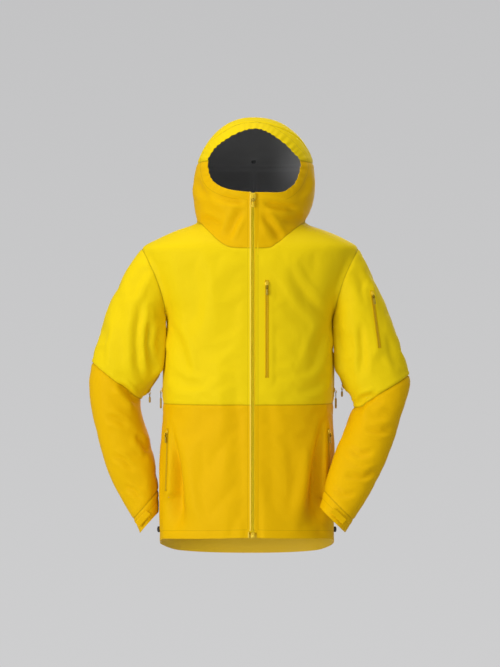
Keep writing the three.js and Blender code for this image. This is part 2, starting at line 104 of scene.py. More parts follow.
def make_lights():
    area_light("key", (-2.5, -2.7, -0.05), (0, 0, -0.32), 1.4, 72)
    area_light("front", (-0.5, -4.6, 1.5), (0, 0, -0.25), 1.7, 6)
    area_light("low", (0.3, -4.4, -1.35), (0, 0, -0.6), 1.3, 18)
    area_light("fill", (2.6, -2.2, 0.1), (0, 0, -0.35), 2.4, 7)
    area_light("top", (-0.2, -0.5, 2.3), (0, 0, 0.0), 1.6, 36)
    area_light("rear", (0.8, 3.2, 0.5), (0, 0, -0.3), 2.4, 46)
    world = bpy.data.worlds.new("studio")
    bpy.context.scene.world = world
    world.use_nodes = True
    nodes, links = world.node_tree.nodes, world.node_tree.links
    nodes.clear()
    coords = nodes.new("ShaderNodeTexCoord")
    split = nodes.new("ShaderNodeSeparateXYZ")
    ramp = nodes.new("ShaderNodeValToRGB")
    ramp.color_ramp.elements[0].position = 0.34
    ramp.color_ramp.elements[0].color = (0.617, 0.617, 0.623, 1)
    ramp.color_ramp.elements[1].position = 0.66
    ramp.color_ramp.elements[1].color = (0.546, 0.546, 0.552, 1)
    spread = nodes.new("ShaderNodeMapRange")
    spread.inputs["From Min"].default_value = -0.5
    spread.inputs["From Max"].default_value = 0.5
    seen = nodes.new("ShaderNodeBackground")
    ambient = nodes.new("ShaderNodeBackground")
    ambient.inputs["Color"].default_value = (0.60, 0.60, 0.615, 1)
    ambient.inputs["Strength"].default_value = 0.56
    path = nodes.new("ShaderNodeLightPath")
    mix = nodes.new("ShaderNodeMixShader")
    out = nodes.new("ShaderNodeOutputWorld")
    links.new(coords.outputs["Generated"], split.inputs[0])
    links.new(split.outputs["Z"], spread.inputs["Value"])
    links.new(spread.outputs[0], ramp.inputs["Fac"])
    links.new(ramp.outputs["Color"], seen.inputs["Color"])
    links.new(path.outputs["Is Camera Ray"], mix.inputs[0])
    links.new(ambient.outputs[0], mix.inputs[1])
    links.new(seen.outputs[0], mix.inputs[2])
    links.new(mix.outputs[0], out.inputs["Surface"])
    bpy.context.scene.view_settings.view_transform = "Standard"


# ---------------------------------------------------------------- materials
def plain_material(name, color, roughness):
    material = bpy.data.materials.new(name)
    material.use_nodes = True
    shader = material.node_tree.nodes["Principled BSDF"]
    shader.inputs["Base Color"].default_value = (*color, 1)
    shader.inputs["Roughness"].default_value = roughness
    return material


def fabric(name, color, shade, roughness=0.62, weave=0.00085, depth=0.00006, sheen=0.0, gloss=0.06):
    """Woven face cloth: broad tonal drift, fine thread noise, and a twill in the bump."""
    material = plain_material(name, color, roughness)
    nodes, links = material.node_tree.nodes, material.node_tree.links
    shader = nodes["Principled BSDF"]
    shader.inputs["Sheen Weight"].default_value = sheen
    shader.inputs["Sheen Roughness"].default_value = 0.45
    shader.inputs["Specular IOR Level"].default_value = gloss
    coords = nodes.new("ShaderNodeTexCoord")
    drift = nodes.new("ShaderNodeTexNoise")
    drift.inputs["Scale"].default_value = 7.0
    drift.inputs["Detail"].default_value = 5.0
    drift.inputs["Roughness"].default_value = 0.6
    tint = nodes.new("ShaderNodeMix")
    tint.data_type = "RGBA"
    tint.inputs[6].default_value = (*color, 1)
    tint.inputs[7].default_value = (*shade, 1)
    warp, weft = nodes.new("ShaderNodeTexWave"), nodes.new("ShaderNodeTexWave")
    for wave, direction in ((warp, "X"), (weft, "Z")):
        wave.wave_type = "BANDS"
        wave.bands_direction = direction
        wave.inputs["Scale"].default_value = 0.314 / weave / 10
        wave.inputs["Distortion"].default_value = 0.6
        wave.inputs["Detail"].default_value = 1.0
        links.new(coords.outputs["Object"], wave.inputs["Vector"])
    threads = nodes.new("ShaderNodeMath")
    threads.operation = "MULTIPLY"
    grain = nodes.new("ShaderNodeTexNoise")
    grain.inputs["Scale"].default_value = 900.0
    grain.inputs["Detail"].default_value = 2.0
    height = nodes.new("ShaderNodeMath")
    height.operation = "ADD"
    bump = nodes.new("ShaderNodeBump")
    bump.inputs["Strength"].default_value = 0.5
    bump.inputs["Distance"].default_value = depth
    links.new(coords.outputs["Object"], drift.inputs["Vector"])
    links.new(coords.outputs["Object"], grain.inputs["Vector"])
    links.new(drift.outputs["Fac"], tint.inputs[0])
    links.new(tint.outputs[2], shader.inputs["Base Color"])
    links.new(warp.outputs["Fac"], threads.inputs[0])
    links.new(weft.outputs["Fac"], threads.inputs[1])
    links.new(threads.outputs[0], height.inputs[0])
    links.new(grain.outputs["Fac"], height.inputs[1])
    links.new(height.outputs[0], bump.inputs["Height"])
    links.new(bump.outputs["Normal"], shader.inputs["Normal"])
    return material


# ---------------------------------------------------------------- lofts
def spline(stations, at):
    """Catmull-Rom through the rows of `stations` at the fractional row numbers `at`."""
    stations = np.asarray(stations, float)
    at = np.clip(np.asarray(at, float), 0, len(stations) - 1)
    i = np.minimum(at.astype(int), len(stations) - 2)
    t = (at - i)[:, None]
    before = stations[np.maximum(i - 1, 0)]
    a, b = stations[i], stations[i + 1]
    after = stations[np.minimum(i + 2, len(stations) - 1)]
    return 0.5 * (2 * a + (b - before) * t + (2 * before - 5 * a + 4 * b - after) * t ** 2
                  + (3 * a - before - 3 * b + after) * t ** 3)


def signed_power(value, exponent):
    return np.sign(value) * np.abs(value) ** exponent


# z, reach to the wearer's right, left, front and back
TRUNK = [
    (-60, 222, 197, 148, 142), (24, 222, 197, 148, 142), (123, 223, 198, 148, 140), (230, 222, 199, 148, 136),
    (330, 215, 195, 148, 134), (426, 213, 197, 148, 138), (515, 208, 196, 148, 146),
    (578, 206, 197, 148, 150), (612, 222, 210, 148, 150), (655, 240, 228, 148, 146),
    (700, 258, 246, 148, 134), (731, 266, 257, 144, 121),
    (753, 230, 225, 132, 106), (774, 184, 177, 112, 90), (792, 124, 120, 84, 70),
]
HOOD = [
    (690, 112, 112, 147, 98), (731, 118, 117, 148, 95), (765, 125, 122, 148, 91), (796, 133, 128, 148, 90),
    (818, 138, 140, 148, 95), (842, 141, 148, 148, 104), (872, 143, 152, 148, 120), (905, 140, 152, 146, 135),
    (936, 133, 148, 141, 144), (964, 122, 139, 132, 145), (992, 104, 122, 118, 132), (1014, 84, 101, 99, 110),
    (1032, 61, 76, 71, 80), (1044, 33, 45, 40, 45), (1048, 11, 19, 14, 18),
]
HOOD_SQUARE, TRUNK_SQUARE = 2.2, 2.3


def oval_loft(stations, square, rows, columns):
    at = np.linspace(0, len(stations) - 1, rows)
    z, right, left, front, back = spline(stations, at).T[:, :, None]
    turn = np.linspace(0, 2 * math.pi, columns, endpoint=False)[None, :]
    c, s = signed_power(np.cos(turn), 2 / square), signed_power(np.sin(turn), 2 / square)
    x = c * np.where(c > 0, left, right)
    y = s * np.where(s > 0, back, front)
    return np.stack([x, y, z + 0 * x], axis=2)


def grid_faces(rows, columns, start=0):
    r, c = np.meshgrid(np.arange(rows - 1), np.arange(columns), indexing="ij")
    right = (c + 1) % columns
    here, above = r * columns, (r + 1) * columns
    quads = np.stack([here + c, here + right, above + right, above + c], axis=2)
    return (quads.reshape(-1, 4) + start).tolist()


def fused(lofts, voxel):
    """Closed lofts fused into one evenly meshed skin, in garment millimetres."""
    points, faces = [], []
    for grid in lofts:
        start = sum(map(len, points))
        rows, columns = grid.shape[:2]
        points.append(grid.reshape(-1, 3))
        faces += grid_faces(rows, columns, start)
        faces.append(list(range(start, start + columns))[::-1])
        faces.append(list(range(start + (rows - 1) * columns, start + rows * columns)))
    mesh = bpy.data.meshes.new("fuse")
    mesh.from_pydata(np.concatenate(points).tolist(), [], faces)
    helper = bpy.data.objects.new("fuse", mesh)
    bpy.context.scene.collection.objects.link(helper)
    remesh = helper.modifiers.new("remesh", "REMESH")
    remesh.mode = "VOXEL"
    remesh.voxel_size = voxel
    evaluated = helper.evaluated_get(bpy.context.evaluated_depsgraph_get())
    result = bmesh.new()
    result.from_mesh(evaluated.to_mesh())
    evaluated.to_mesh_clear()
    bpy.data.objects.remove(helper)
    bpy.data.meshes.remove(mesh)
    return result


def places(bm):
    return np.array([v.co[:] for v in bm.verts], float)


def put(bm, points):
    for vert, point in zip(bm.verts, points):
        vert.co = point


def relax(bm, steps, factor=0.5, hold=None):
    """Evens the skin out by moving each point towards its neighbours' mean."""
    points = places(bm)
    bm.verts.index_update()
    pairs = np.array([(e.verts[0].index, e.verts[1].index) for e in bm.edges])
    count = np.zeros(len(points))
    np.add.at(count, pairs.ravel(), 1)
    share = np.full(len(points), factor) if hold is None else factor * (1 - hold)
    for _ in range(steps):
        total = np.zeros_like(points)
        np.add.at(total, pairs[:, 0], points[pairs[:, 1]])
        np.add.at(total, pairs[:, 1], points[pairs[:, 0]])
        points += share[:, None] * (total / count[:, None] - points)
    put(bm, points)


def score(bm, field):
    """Adds edges to the skin along the field's zero line, moving points that are nearly on it."""
    bm.verts.index_update()
    values = field(places(bm))
    on = set()
    crossing = []
    for edge in bm.edges:
        a, b = values[edge.verts[0].index], values[edge.verts[1].index]
        if a * b >= 0:
            continue
        share = a / (a - b)
        if share < 0.12 or share > 0.88:
            near = edge.verts[0] if share < 0.12 else edge.verts[1]
            if near not in on:
                near.co = edge.verts[0].co.lerp(edge.verts[1].co, share)
                on.add(near)
        else:
            crossing.append(edge)
    for edge in crossing:
        first, second = edge.verts
        if first in on or second in on:
            continue
        a, b = values[first.index], values[second.index]
        on.add(bmesh.utils.edge_split(edge, first, a / (a - b))[1])
    for face in {f for vert in on for f in vert.link_faces}:
        ends = [v for v in face.verts if v in on]
        if len(ends) == 2 and not any(e.other_vert(ends[0]) is ends[1] for e in ends[0].link_edges):
            bmesh.utils.face_split(face, ends[0], ends[1])
    bm.normal_update()


# ---------------------------------------------------------------- the jacket's shape, garment millimetres
# outer x and z, inner x and z, half depth, middle y
SLEEVES = {
    "right": {
        "side": -1, "wristward": (-4, 0, -30), "elbow": ((-271, 370), (-387, 457)),
        "armhole": ((-207, 578), (-266, 731)),
        "stations": [
            (-226, 742, -168, 592, 70, 0), (-266, 730, -207, 577, 78, 0), (-312, 665, -213, 515, 84, 0),
            (-351, 578, -217, 462, 84, 0), (-380, 491, -223, 432, 80, 2), (-392, 424, -243, 401, 72, 4),
            (-393, 392, -265, 373, 66, 5), (-387, 339, -269, 339, 62, 6), (-370, 266, -250, 273, 58, 8),
            (-344, 184, -233, 208, 54, 10), (-310, 119, -227, 152, 50, 12), (-271, 46, -227, 96, 47, 12),
        ],
    },
    "left": {
        "side": 1, "wristward": (-15, -6, -24), "elbow": ((378, 426), (249, 353)),
        "armhole": ((199, 578), (257, 731)),
        "stations": [
            (222, 742, 163, 592, 70, 0), (257, 730, 199, 577, 78, 0), (291, 665, 203, 515, 84, 0),
            (330, 578, 206, 465, 84, -2), (363, 491, 211, 432, 80, -8), (380, 424, 226, 393, 72, -18),
            (379, 394, 245, 361, 66, -26), (360, 338, 235, 331, 62, -45), (331, 256, 203, 256, 58, -76),
            (299, 192, 180, 195, 55, -107), (265, 131, 165, 137, 51, -133), (219, 61, 160, 118, 48, -153),
        ],
    },
}
SLEEVE_SQUARE = 2.2
CUFF_BAND = 34
ARMHOLE_BOW = 9
FACE = [
    (2, 1012), (-39, 999), (-81, 973), (-98, 952), (-105, 935), (-100, 900), (-84, 879), (-53, 865),
    (-11, 859),
    (28, 858), (68, 859), (87, 868), (105, 888), (116, 932), (97, 956), (77, 976), (35, 1005),
]
HEM = ([-900, -148, -60, 20, 90, 142, 900], [47, 46, 37, 20, -4, -16, -18])
NECK_FRONT = [(-150, 806), (-127, 793), (-107, 773), (-85, 751), (-62, 734), (-36, 728), (36, 728), (58, 739),
              (80, 757), (104, 776), (126, 793), (150, 806)]
NECK_BACK = ([-20, 140], [788, 792])
TRUNK_SIDE = {
    -1: ([-100, 330, 515, 578], [222, 215, 209, 207]),
    1: ([-100, 330, 515, 578], [197, 195, 197, 198]),
}


def sleeve_loft(sleeve, rows, columns):
    """The sleeve's rings, each leaning as its station does, and one past the cuff to cut back from."""
    at = np.linspace(0, len(sleeve["stations"]) - 1, rows)
    stations = spline(sleeve["stations"], at)
    ox, oz, ix, iz, deep, y = stations.T[:, :, None]
    turn = np.linspace(0, 2 * math.pi, columns, endpoint=False)[None, :]
    c = signed_power(np.cos(turn), 2 / SLEEVE_SQUARE) * sleeve["side"]
    s = signed_power(np.sin(turn), 2 / SLEEVE_SQUARE)
    half_x, half_z = (ox - ix) / 2 * sleeve["side"], (oz - iz) / 2 * sleeve["side"]
    grid = np.stack([(ox + ix) / 2 + c * half_x, y + s * deep + 0 * c, (oz + iz) / 2 + c * half_z], axis=2)
    return np.concatenate([grid, grid[-1:] + np.array(sleeve["wristward"], float) * 0.5], axis=0)


def opened(z):
    """How far the sleeves are swung out at a height, to keep clear of the trunk while all is fused."""
    below = np.maximum(0, 585 - z)
    return 0.34 * below ** 2 / (below + 40)


def between(z, side, swung):
    """X of the line, seen from the front, that parts a sleeve from the trunk."""
    low, high = SLEEVES["left" if side > 0 else "right"]["armhole"]
    slope = (high[0] - low[0]) / (high[1] - low[1])
    trunk = np.interp(z, *TRUNK_SIDE[side]) + (2.0 + (opened(z) / 2 if swung else 0))
    share = np.clip((z - low[1]) / (high[1] - low[1]), 0, 1)
    curved = low[0] + slope * (z - low[1]) - side * ARMHOLE_BOW * 4 * share * (1 - share)
    return np.where(z >= low[1], curved, side * trunk)


def beyond(points, side):
    """Positive on the sleeve's side of the armhole and of the gap under it, with the sleeves swung out."""
    return side * (points[:, 0] - between(points[:, 2], side, True))


def settled(points):
    """The swung-out skin's points moved to where they are worn, and which sleeve each is on (0: neither)."""
    out = points.copy()
    which = np.zeros(len(points), int)
    for side in (-1, 1):
        on = beyond(points, side) > 0.01
        out[on, 0] -= side * opened(points[on, 2])
        which[on] = side
    return out, which


def past_line(points, low, high, shift=0.0):
    """Signed distance, seen from the front, to the right of the line that goes up from `low` to `high`."""
    (x0, z0), (x1, z1) = low, high
    length = math.hypot(x1 - x0, z1 - z0)
    return ((points[:, 0] - x0) * (z1 - z0) - (points[:, 2] - z0) * (x1 - x0)) / length - shift


def cuff_line(sleeve):
    ox, oz, ix, iz = sleeve["stations"][-1][:4]
    return (ox, oz), (ix, iz)


def up_arm(points, side, shift=0.0):
    """Distance up the arm from the cuff's edge."""
    sleeve = SLEEVES["left" if side > 0 else "right"]
    outer, inner = cuff_line(sleeve)
    return -side * past_line(points, inner, outer, 0) - shift


def past_elbow(points, side):
    """Positive on the upper arm's side of the elbow seam."""
    sleeve = SLEEVES["left" if side > 0 else "right"]
    low, high = sleeve["elbow"]
    flip = past_line(np.array([[sleeve["stations"][2][0], 0, 665]]), low, high)[0]
    return np.sign(flip) * past_line(points, low, high)


def closed_curve(points, steps=8):
    points = np.asarray(points, float)
    n = len(points)
    out = []
    for i in range(n):
        a, b, c, d = points[i - 1], points[i], points[(i + 1) % n], points[(i + 2) % n]
        for t in np.arange(steps) / steps:
            out.append(0.5 * (2 * b + (c - a) * t + (2 * a - 5 * b + 4 * c - d) * t ** 2
                              + (3 * b - a - 3 * c + d) * t ** 3))
    return np.array(out)


def to_polyline(flat, line, closed=False):
    """Distance in the plane to a polyline, the share of its length at the nearest point, and the side."""
    line = np.asarray(line, float)
    ends = np.roll(line, -1, axis=0) if closed else line[1:]
    starts = line if closed else line[:-1]
    lengths = np.linalg.norm(ends - starts, axis=1)
    along = np.concatenate([[0], np.cumsum(lengths)])
    best = np.full(len(flat), 1e9)
    share = np.zeros(len(flat))
    side = np.ones(len(flat))
    for a, b, length, start in zip(starts, ends, lengths, along):
        way = (b - a) / max(length, 1e-9)
        offset = flat - a
        t = np.clip(offset @ way, 0, length)
        distance = np.linalg.norm(offset - t[:, None] * way, axis=1)
        near = distance < best
        best[near] = distance[near]
        share[near] = ((start + t) / along[-1])[near]
        cross = way[0] * offset[:, 1] - way[1] * offset[:, 0]
        side[near] = np.where(cross >= 0, 1, -1)[near]
    return best, share, side


FACE_CURVE = closed_curve(FACE)


def outside_face(points):
    """Positive outside the face opening, in millimetres across it as seen from the front."""
    flat = points[:, [0, 2]]
    distance = to_polyline(flat, FACE_CURVE, True)[0]
    x, z = flat.T
    inside = np.zeros(len(flat), bool)
    for (x0, z0), (x1, z1) in zip(FACE_CURVE, np.roll(FACE_CURVE, -1, axis=0)):
        crossed = (z0 > z) != (z1 > z)
        inside ^= crossed & (x < (x1 - x0) * (z - z0) / (z1 - z0 + 1e-12) + x0)
    away = np.where(inside, -distance, distance)
    return np.where(points[:, 1] > -8, np.maximum(60.0, np.abs(away)), away)


def hood_reach(worn):
    """Positive inside the hood's own tube, in millimetres, with a little to spare."""
    stations = np.array(HOOD, float)
    right, left, front, back = (np.interp(worn[:, 2], stations[:, 0], stations[:, k]) for k in (1, 2, 3, 4))
    x = np.abs(worn[:, 0]) / np.where(worn[:, 0] > 0, left, right)
    y = np.abs(worn[:, 1]) / np.where(worn[:, 1] > 0, back, front)
    return (1 - (x ** HOOD_SQUARE + y ** HOOD_SQUARE) ** (1 / HOOD_SQUARE)) * 130 + 2.5


NECK_CURVE = spline(NECK_FRONT, np.linspace(0, len(NECK_FRONT) - 1, 60)).T


def above_neck(worn):
    """Positive above the neck seam: a U across the front, and level round the hood's tube behind it."""
    x, y, z = worn.T
    front = np.minimum(np.minimum(z - np.interp(x, *NECK_CURVE), 128 - np.abs(x)), -20 - y)
    behind = np.minimum(z - np.interp(y, *NECK_BACK), hood_reach(worn))
    return np.where(z > 830, 60.0, np.maximum(front, behind))


def above_hem(worn):
    return worn[:, 2] - np.interp(worn[:, 1], *HEM)


def beside_zip(worn):
    """Distance out from the edge of the slot that the main zip shows in."""
    x, y, z = worn.T
    return np.where((y < 0) & (z < 880), np.abs(x - ZIP_X) - np.interp(z, *SLOT), FAR)


def behind_brim(worn):
    """Positive behind the brim's seam, which runs back to the temples."""
    return worn[:, 1] + 74 - 0.006 * np.maximum(0, np.abs(worn[:, 0]) - 50) ** 2


TRUNK_FIELDS = {
    "yoke": lambda worn: np.where(above_neck(worn) < 0, worn[:, 2] - YOKE, FAR),
    "side": lambda worn: np.where(above_neck(worn) < 6, worn[:, 1], FAR),
    "neck": above_neck,
    "break": lambda worn: worn[:, 2] - HOOD_BREAK,
    "brim": lambda worn: np.where(worn[:, 2] > HOOD_BREAK - 12, behind_brim(worn), FAR),
    "nape": lambda worn: np.where((worn[:, 1] > 0) & (worn[:, 2] < HOOD_BREAK + 12), worn[:, 0] - 4, FAR),
    "zip_left": lambda worn: np.where(worn[:, 0] > ZIP_X, beside_zip(worn), FAR),
    "zip_right": lambda worn: np.where(worn[:, 0] < ZIP_X, beside_zip(worn), FAR),
    "hem": above_hem,
    "face": lambda worn: np.where(worn[:, 2] > 840, outside_face(worn), FAR),
}
SLEEVE_FIELDS = {
    "elbow": past_elbow,
    "band": lambda worn, side: up_arm(worn, side, CUFF_BAND),
    "cuff": up_arm,
}


def trunk_field(name):
    def field(points):
        worn, which = settled(points)
        return np.where(which == 0, TRUNK_FIELDS[name](worn), FAR)
    return field


def sleeve_field(name, side):
    def field(points):
        worn, which = settled(points)
        return np.where(which == side, SLEEVE_FIELDS[name](worn, side), FAR)
    return field


def armhole_field(side):
    return lambda points: np.where(points[:, 2] > 555, beyond(points, side), -FAR)


def panel_names():
    names = ["front_right_lower", "front_left_lower", "front_right_upper", "front_left_upper", "back_lower",
             "back_upper", "hood_lower_right", "hood_lower_left", "hood_brim", "hood_crown"]
    for side in ("left", "right"):
        names += ["sleeve_upper_" + side, "sleeve_lower_" + side, "cuff_band_" + side]
    return names


def panel_of(worn, which):
    """The number of the panel that each point is in, and -1 for what is cut away."""
    names = panel_names()
    x, y, z = worn.T
    lower, left = z < YOKE, x > ZIP_X
    trunk = np.where(y > 0, np.where(lower, 4, 5), np.where(lower, 0, 2) + left)
    hood = np.where(z > HOOD_BREAK, np.where(behind_brim(worn) > 0, 9, 8), np.where(x > 3, 7, 6))
    out = np.where(above_neck(worn) > 0, hood, trunk)
    slot = beside_zip(worn) < 0
    face = (z > 840) & (outside_face(worn) < 0)
    out = np.where(slot | face | (above_hem(worn) < 0), -1, out)
    for name, side in (("left", 1), ("right", -1)):
        up = up_arm(worn, side)
        number = names.index("sleeve_upper_" + name)
        below = np.where(up > CUFF_BAND, number + 1, number + 2)
        sleeve = np.where(past_elbow(worn, side) > 0, number, below)
        out = np.where(which == side, np.where(up < 0, -1, sleeve), out)
    return out


def make_skin(voxel, seams):
    """The garment's skin as a bmesh, worn, with each face's panel number and each point's sleeve."""
    lofts = [oval_loft(TRUNK, TRUNK_SQUARE, 130, 144), oval_loft(HOOD, HOOD_SQUARE, 90, 120)]
    for sleeve in SLEEVES.values():
        grid = sleeve_loft(sleeve, 110, 90)
        grid[..., 0] += sleeve["side"] * opened(grid[..., 2])
        lofts.append(grid)
    bm = fused(lofts, voxel)
    relax(bm, 8)
    if seams:
        for side in (-1, 1):
            score(bm, armhole_field(side))
            for name in SLEEVE_FIELDS:
                score(bm, sleeve_field(name, side))
        for name in TRUNK_FIELDS:
            score(bm, trunk_field(name))
    bm.faces.ensure_lookup_table()
    centres = np.array([f.calc_center_median()[:] for f in bm.faces], float)
    number = panel_of(*settled(centres))
    gone = [f for f, n in zip(list(bm.faces), number) if n < 0]
    bmesh.ops.delete(bm, geom=gone, context="FACES")
    number = number[number >= 0]
    worn, which = settled(places(bm))
    put(bm, worn)
    bm.verts.index_update()
    bm.faces.index_update()
    bm.normal_update()
    return bm, number, which


# ---------------------------------------------------------------- folds
# Seen from the front: where it lies, how deep it goes in (negative: stands out), its half width, or one for
# each side of it, and its line.
FRONT_FOLDS = [
    ("right_arm", 3.0, 12, [(-312, 640), (-318, 560), (-313, 470), (-309, 405)]),
    ("right_arm", 7.0, 9, [(-262, 612), (-271, 540), (-272, 460), (-262, 402)]),
    ("right_arm", 6.0, 8, [(-240, 560), (-248, 500), (-238, 440)]),
    ("right_arm", 2.0, 10, [(-345, 560), (-356, 500), (-360, 440)]),
    ("right_arm", 9.0, 8, [(-322, 412), (-300, 392), (-268, 358)]),
    ("right_arm", -4.0, 9, [(-336, 400), (-306, 370), (-278, 338)]),
    ("right_arm", 5.0, 8, [(-352, 330), (-322, 322), (-292, 302)]),
    ("right_arm", 5.5, 7, [(-280, 288), (-258, 262), (-243, 236)]),
    ("right_arm", 4.0, 7, [(-338, 240), (-306, 222), (-280, 196)]),
    ("right_arm", 4.0, 6, [(-310, 160), (-286, 150), (-262, 128)]),
    ("right_arm", 4.0, 12, [(-250, 690), (-276, 640), (-286, 600)]),
    ("left_arm", 9.0, 8, [(244, 346), (266, 372), (300, 384)]),
    ("left_arm", -4.0, 9, [(252, 326), (282, 346), (320, 356)]),
    ("left_arm", 3.0, 10, [(352, 440), (334, 470), (326, 530)]),
    ("left_arm", 4.5, 9, [(258, 420), (262, 480), (258, 560)]),
    ("left_arm", -2.0, 13, [(280, 410), (284, 470), (282, 540)]),
    ("left_arm", 4.0, 12, [(244, 690), (268, 640), (280, 590)]),
    ("left_arm", 5.0, 8, [(338, 300), (302, 296), (262, 306)]),
    ("left_arm", 4.0, 7, [(222, 262), (252, 246), (290, 250)]),
    ("left_arm", 4.0, 7, [(300, 208), (262, 190), (214, 196)]),
    ("left_arm", 3.5, 6, [(180, 172), (212, 152), (244, 152)]),
    ("body", 31.0, (22, 16), [(-196, 310), (-190, 210), (-187, 120), (-178, 40)]),
    ("body", -3.0, 15, [(-148, 300), (-142, 200), (-134, 70)]),
    ("body", 31.0, (14, 23), [(176, 335), (170, 240), (164, 150), (155, 60)]),
    ("body", -3.0, 13, [(124, 280), (128, 180), (122, 70)]),
    ("body", 5.0, 9, [(152, 62), (170, 40), (196, 26)]),
    ("body", 2.4, 16, [(-52, 520), (-36, 400), (-28, 250), (-24, 60)]),
    ("body", -2.0, 18, [(-84, 470), (-70, 330), (-62, 120)]),
    ("body", 2.0, 16, [(30, 410), (44, 300), (46, 160), (40, 60)]),
    ("body", 3.0, 22, [(-150, 730), (-134, 640), (-126, 520)]),
    ("body", 3.0, 22, [(150, 728), (130, 640), (118, 530)]),
    ("body", -2.0, 24, [(-96, 700), (-84, 600), (-88, 480)]),
    ("body", 3.5, 12, [(76, 700), (110, 640), (150, 590), (184, 556)]),
    ("body", 3.5, 13, [(-198, 560), (-172, 500), (-150, 420)]),
    ("body", 3.5, 13, [(190, 560), (162, 500), (140, 430)]),
    ("body", 2.5, 12, [(-196, 440), (-160, 410), (-110, 400)]),
    ("body", 2.5, 12, [(188, 430), (150, 400), (104, 386)]),
    ("hood", 8.0, 8, [(22, 834), (60, 826), (116, 819)]),
    ("hood", 7.0, 8, [(-14, 832), (-42, 838), (-80, 850)]),
    ("hood", 6.5, 9, [(-18, 822), (-40, 790), (-60, 744)]),
    ("hood", 6.5, 9, [(20, 812), (48, 778), (74, 742)]),
    ("hood", 4.0, 10, [(-128, 800), (-96, 792), (-66, 776)]),
    ("hood", 4.5, 10, [(132, 800), (102, 796), (70, 790)]),
    ("hood", -3.5, 9, [(-104, 850), (-78, 828), (-50, 812)]),
    ("hood", 5.0, 8, [(-134, 900), (-122, 870), (-100, 846)]),
    ("hood", 5.0, 8, [(138, 910), (128, 872), (104, 846)]),
]
# The same for the back, seen through from the front.
BACK_FOLDS = [
    ("body", 5.0, 20, [(-160, 700), (-120, 560), (-100, 420)]),
    ("body", 5.0, 20, [(152, 700), (116, 560), (98, 420)]),
    ("body", 4.0, 18, [(-30, 600), (-20, 470), (-34, 340)]),
    ("body", -3.0, 20, [(40, 640), (46, 500), (36, 360)]),
    ("body", 6.0, 15, [(-170, 400), (-120, 378), (-60, 386)]),
    ("body", 5.0, 14, [(-150, 352), (-80, 334), (0, 344), (60, 338)]),
    ("body", 6.0, 15, [(166, 404), (118, 382), (50, 390)]),
    ("body", 7.0, 17, [(-160, 310), (-150, 180), (-156, 30)]),
    ("body", 7.0, 17, [(140, 320), (128, 180), (134, 20)]),
    ("body", 5.0, 18, [(-60, 260), (-54, 140), (-62, 10)]),
    ("body", 5.0, 18, [(48, 270), (40, 130), (50, 0)]),
    ("body", 4.5, 13, [(-196, 560), (-160, 500), (-130, 470)]),
    ("body", 4.5, 13, [(190, 560), (150, 500), (120, 470)]),
    ("hood", 6.0, 12, [(-110, 852), (-50, 838), (20, 842), (90, 834)]),
    ("hood", 5.0, 11, [(-100, 812), (-30, 818), (50, 812), (104, 820)]),
    ("hood", 4.0, 12, [(-120, 890), (-60, 876), (0, 880)]),
    ("right_arm", 6.0, 10, [(-374, 470), (-330, 430), (-284, 402)]),
    ("right_arm", 5.0, 9, [(-380, 380), (-330, 366), (-286, 344)]),
    ("right_arm", 5.0, 11, [(-300, 640), (-322, 560), (-318, 480)]),
    ("right_arm", 4.5, 8, [(-360, 280), (-310, 268), (-262, 240)]),
    ("right_arm", 4.0, 8, [(-330, 190), (-290, 180), (-250, 150)]),
    ("left_arm", 6.0, 10, [(360, 462), (316, 420), (270, 396)]),
    ("left_arm", 5.0, 9, [(362, 372), (316, 362), (262, 350)]),
    ("left_arm", 5.0, 11, [(288, 640), (306, 560), (300, 480)]),
    ("left_arm", 4.5, 8, [(330, 290), (280, 280), (230, 290)]),
    ("left_arm", 4.0, 8, [(290, 190), (240, 180), (190, 190)]),
]
# Zips, as seen from the front: half width kept calm, depth range, and line.
CALM = [
    (11, (-400, 0), [(2, 46), (2, 857)]),
    (9, (-400, 0), [(35, 422), (35, 652)]),
    (11, (-140, 0), [(301.5, 491), (284, 628)]),
    (12, (-40, 30), [(-215, 372), (-213, 470)]),
    (12, (-40, 30), [(197, 372), (198, 470)]),
    (13, (-40, 40), [(-256, 383), (-228, 424)]),
    (13, (-60, 30), [(226, 393), (213, 427)]),
    (4, (-90, -30), [(-203, 150), (-199, 300)]),
    (4, (-90, -30), [(181, 150), (179, 300)]),
]


def smooth(value, low, high):
    t = np.clip((value - low) / (high - low), 0, 1)
    return t * t * (3 - 2 * t)


def calm_of(worn):
    """1 where the cloth is free to fold, 0 where a zip holds it flat."""
    free = np.ones(len(worn))
    for width, (low, high), line in CALM:
        distance = to_polyline(worn[:, [0, 2]], line)[0]
        inside = smooth(worn[:, 1], low - 25, low) * (1 - smooth(worn[:, 1], high, high + 25))
        free *= 1 - inside * (1 - smooth(distance, width, width + 14))
    return free


def zone_of(worn, which):
    hood = above_neck(worn) > -6
    return {"right_arm": which == -1, "left_arm": which == 1, "hood": (which == 0) & hood,
            "body": (which == 0) & ~hood}


def fold_depth(worn, normals, which):
    """How far in each point goes under the listed folds."""
    zones = zone_of(worn, which)
    depth = np.zeros(len(worn))
    for folds, facing in ((FRONT_FOLDS, -1), (BACK_FOLDS, 1)):
        turned = smooth(facing * normals[:, 1], -0.35, 0.25)
        for zone, deep, width, line in folds:
            near = zones[zone] & (turned > 0)
            distance, share, side = to_polyline(worn[near][:, [0, 2]], line)
            if isinstance(width, tuple):
                both = [w * (0.55 + 0.7 * share) for w in width]
            else:
                both = (width / 1.15, width / 0.85)
            s = distance / np.where(side > 0, *both)
            ends = np.minimum(smooth(share, -0.02, 0.45 if deep > 15 else 0.3), 1 - smooth(share, 0.7, 1.02))
            taper = ends * (1 - smooth(s, 2.2, 3.4))
            profile = np.exp(-s ** 2 * 1.1) - (0.42 if deep < 15 else 0.06) * np.exp(-(s - 2.0) ** 2 * 1.1)
            depth[near] += deep * profile * taper * turned[near]
    return depth


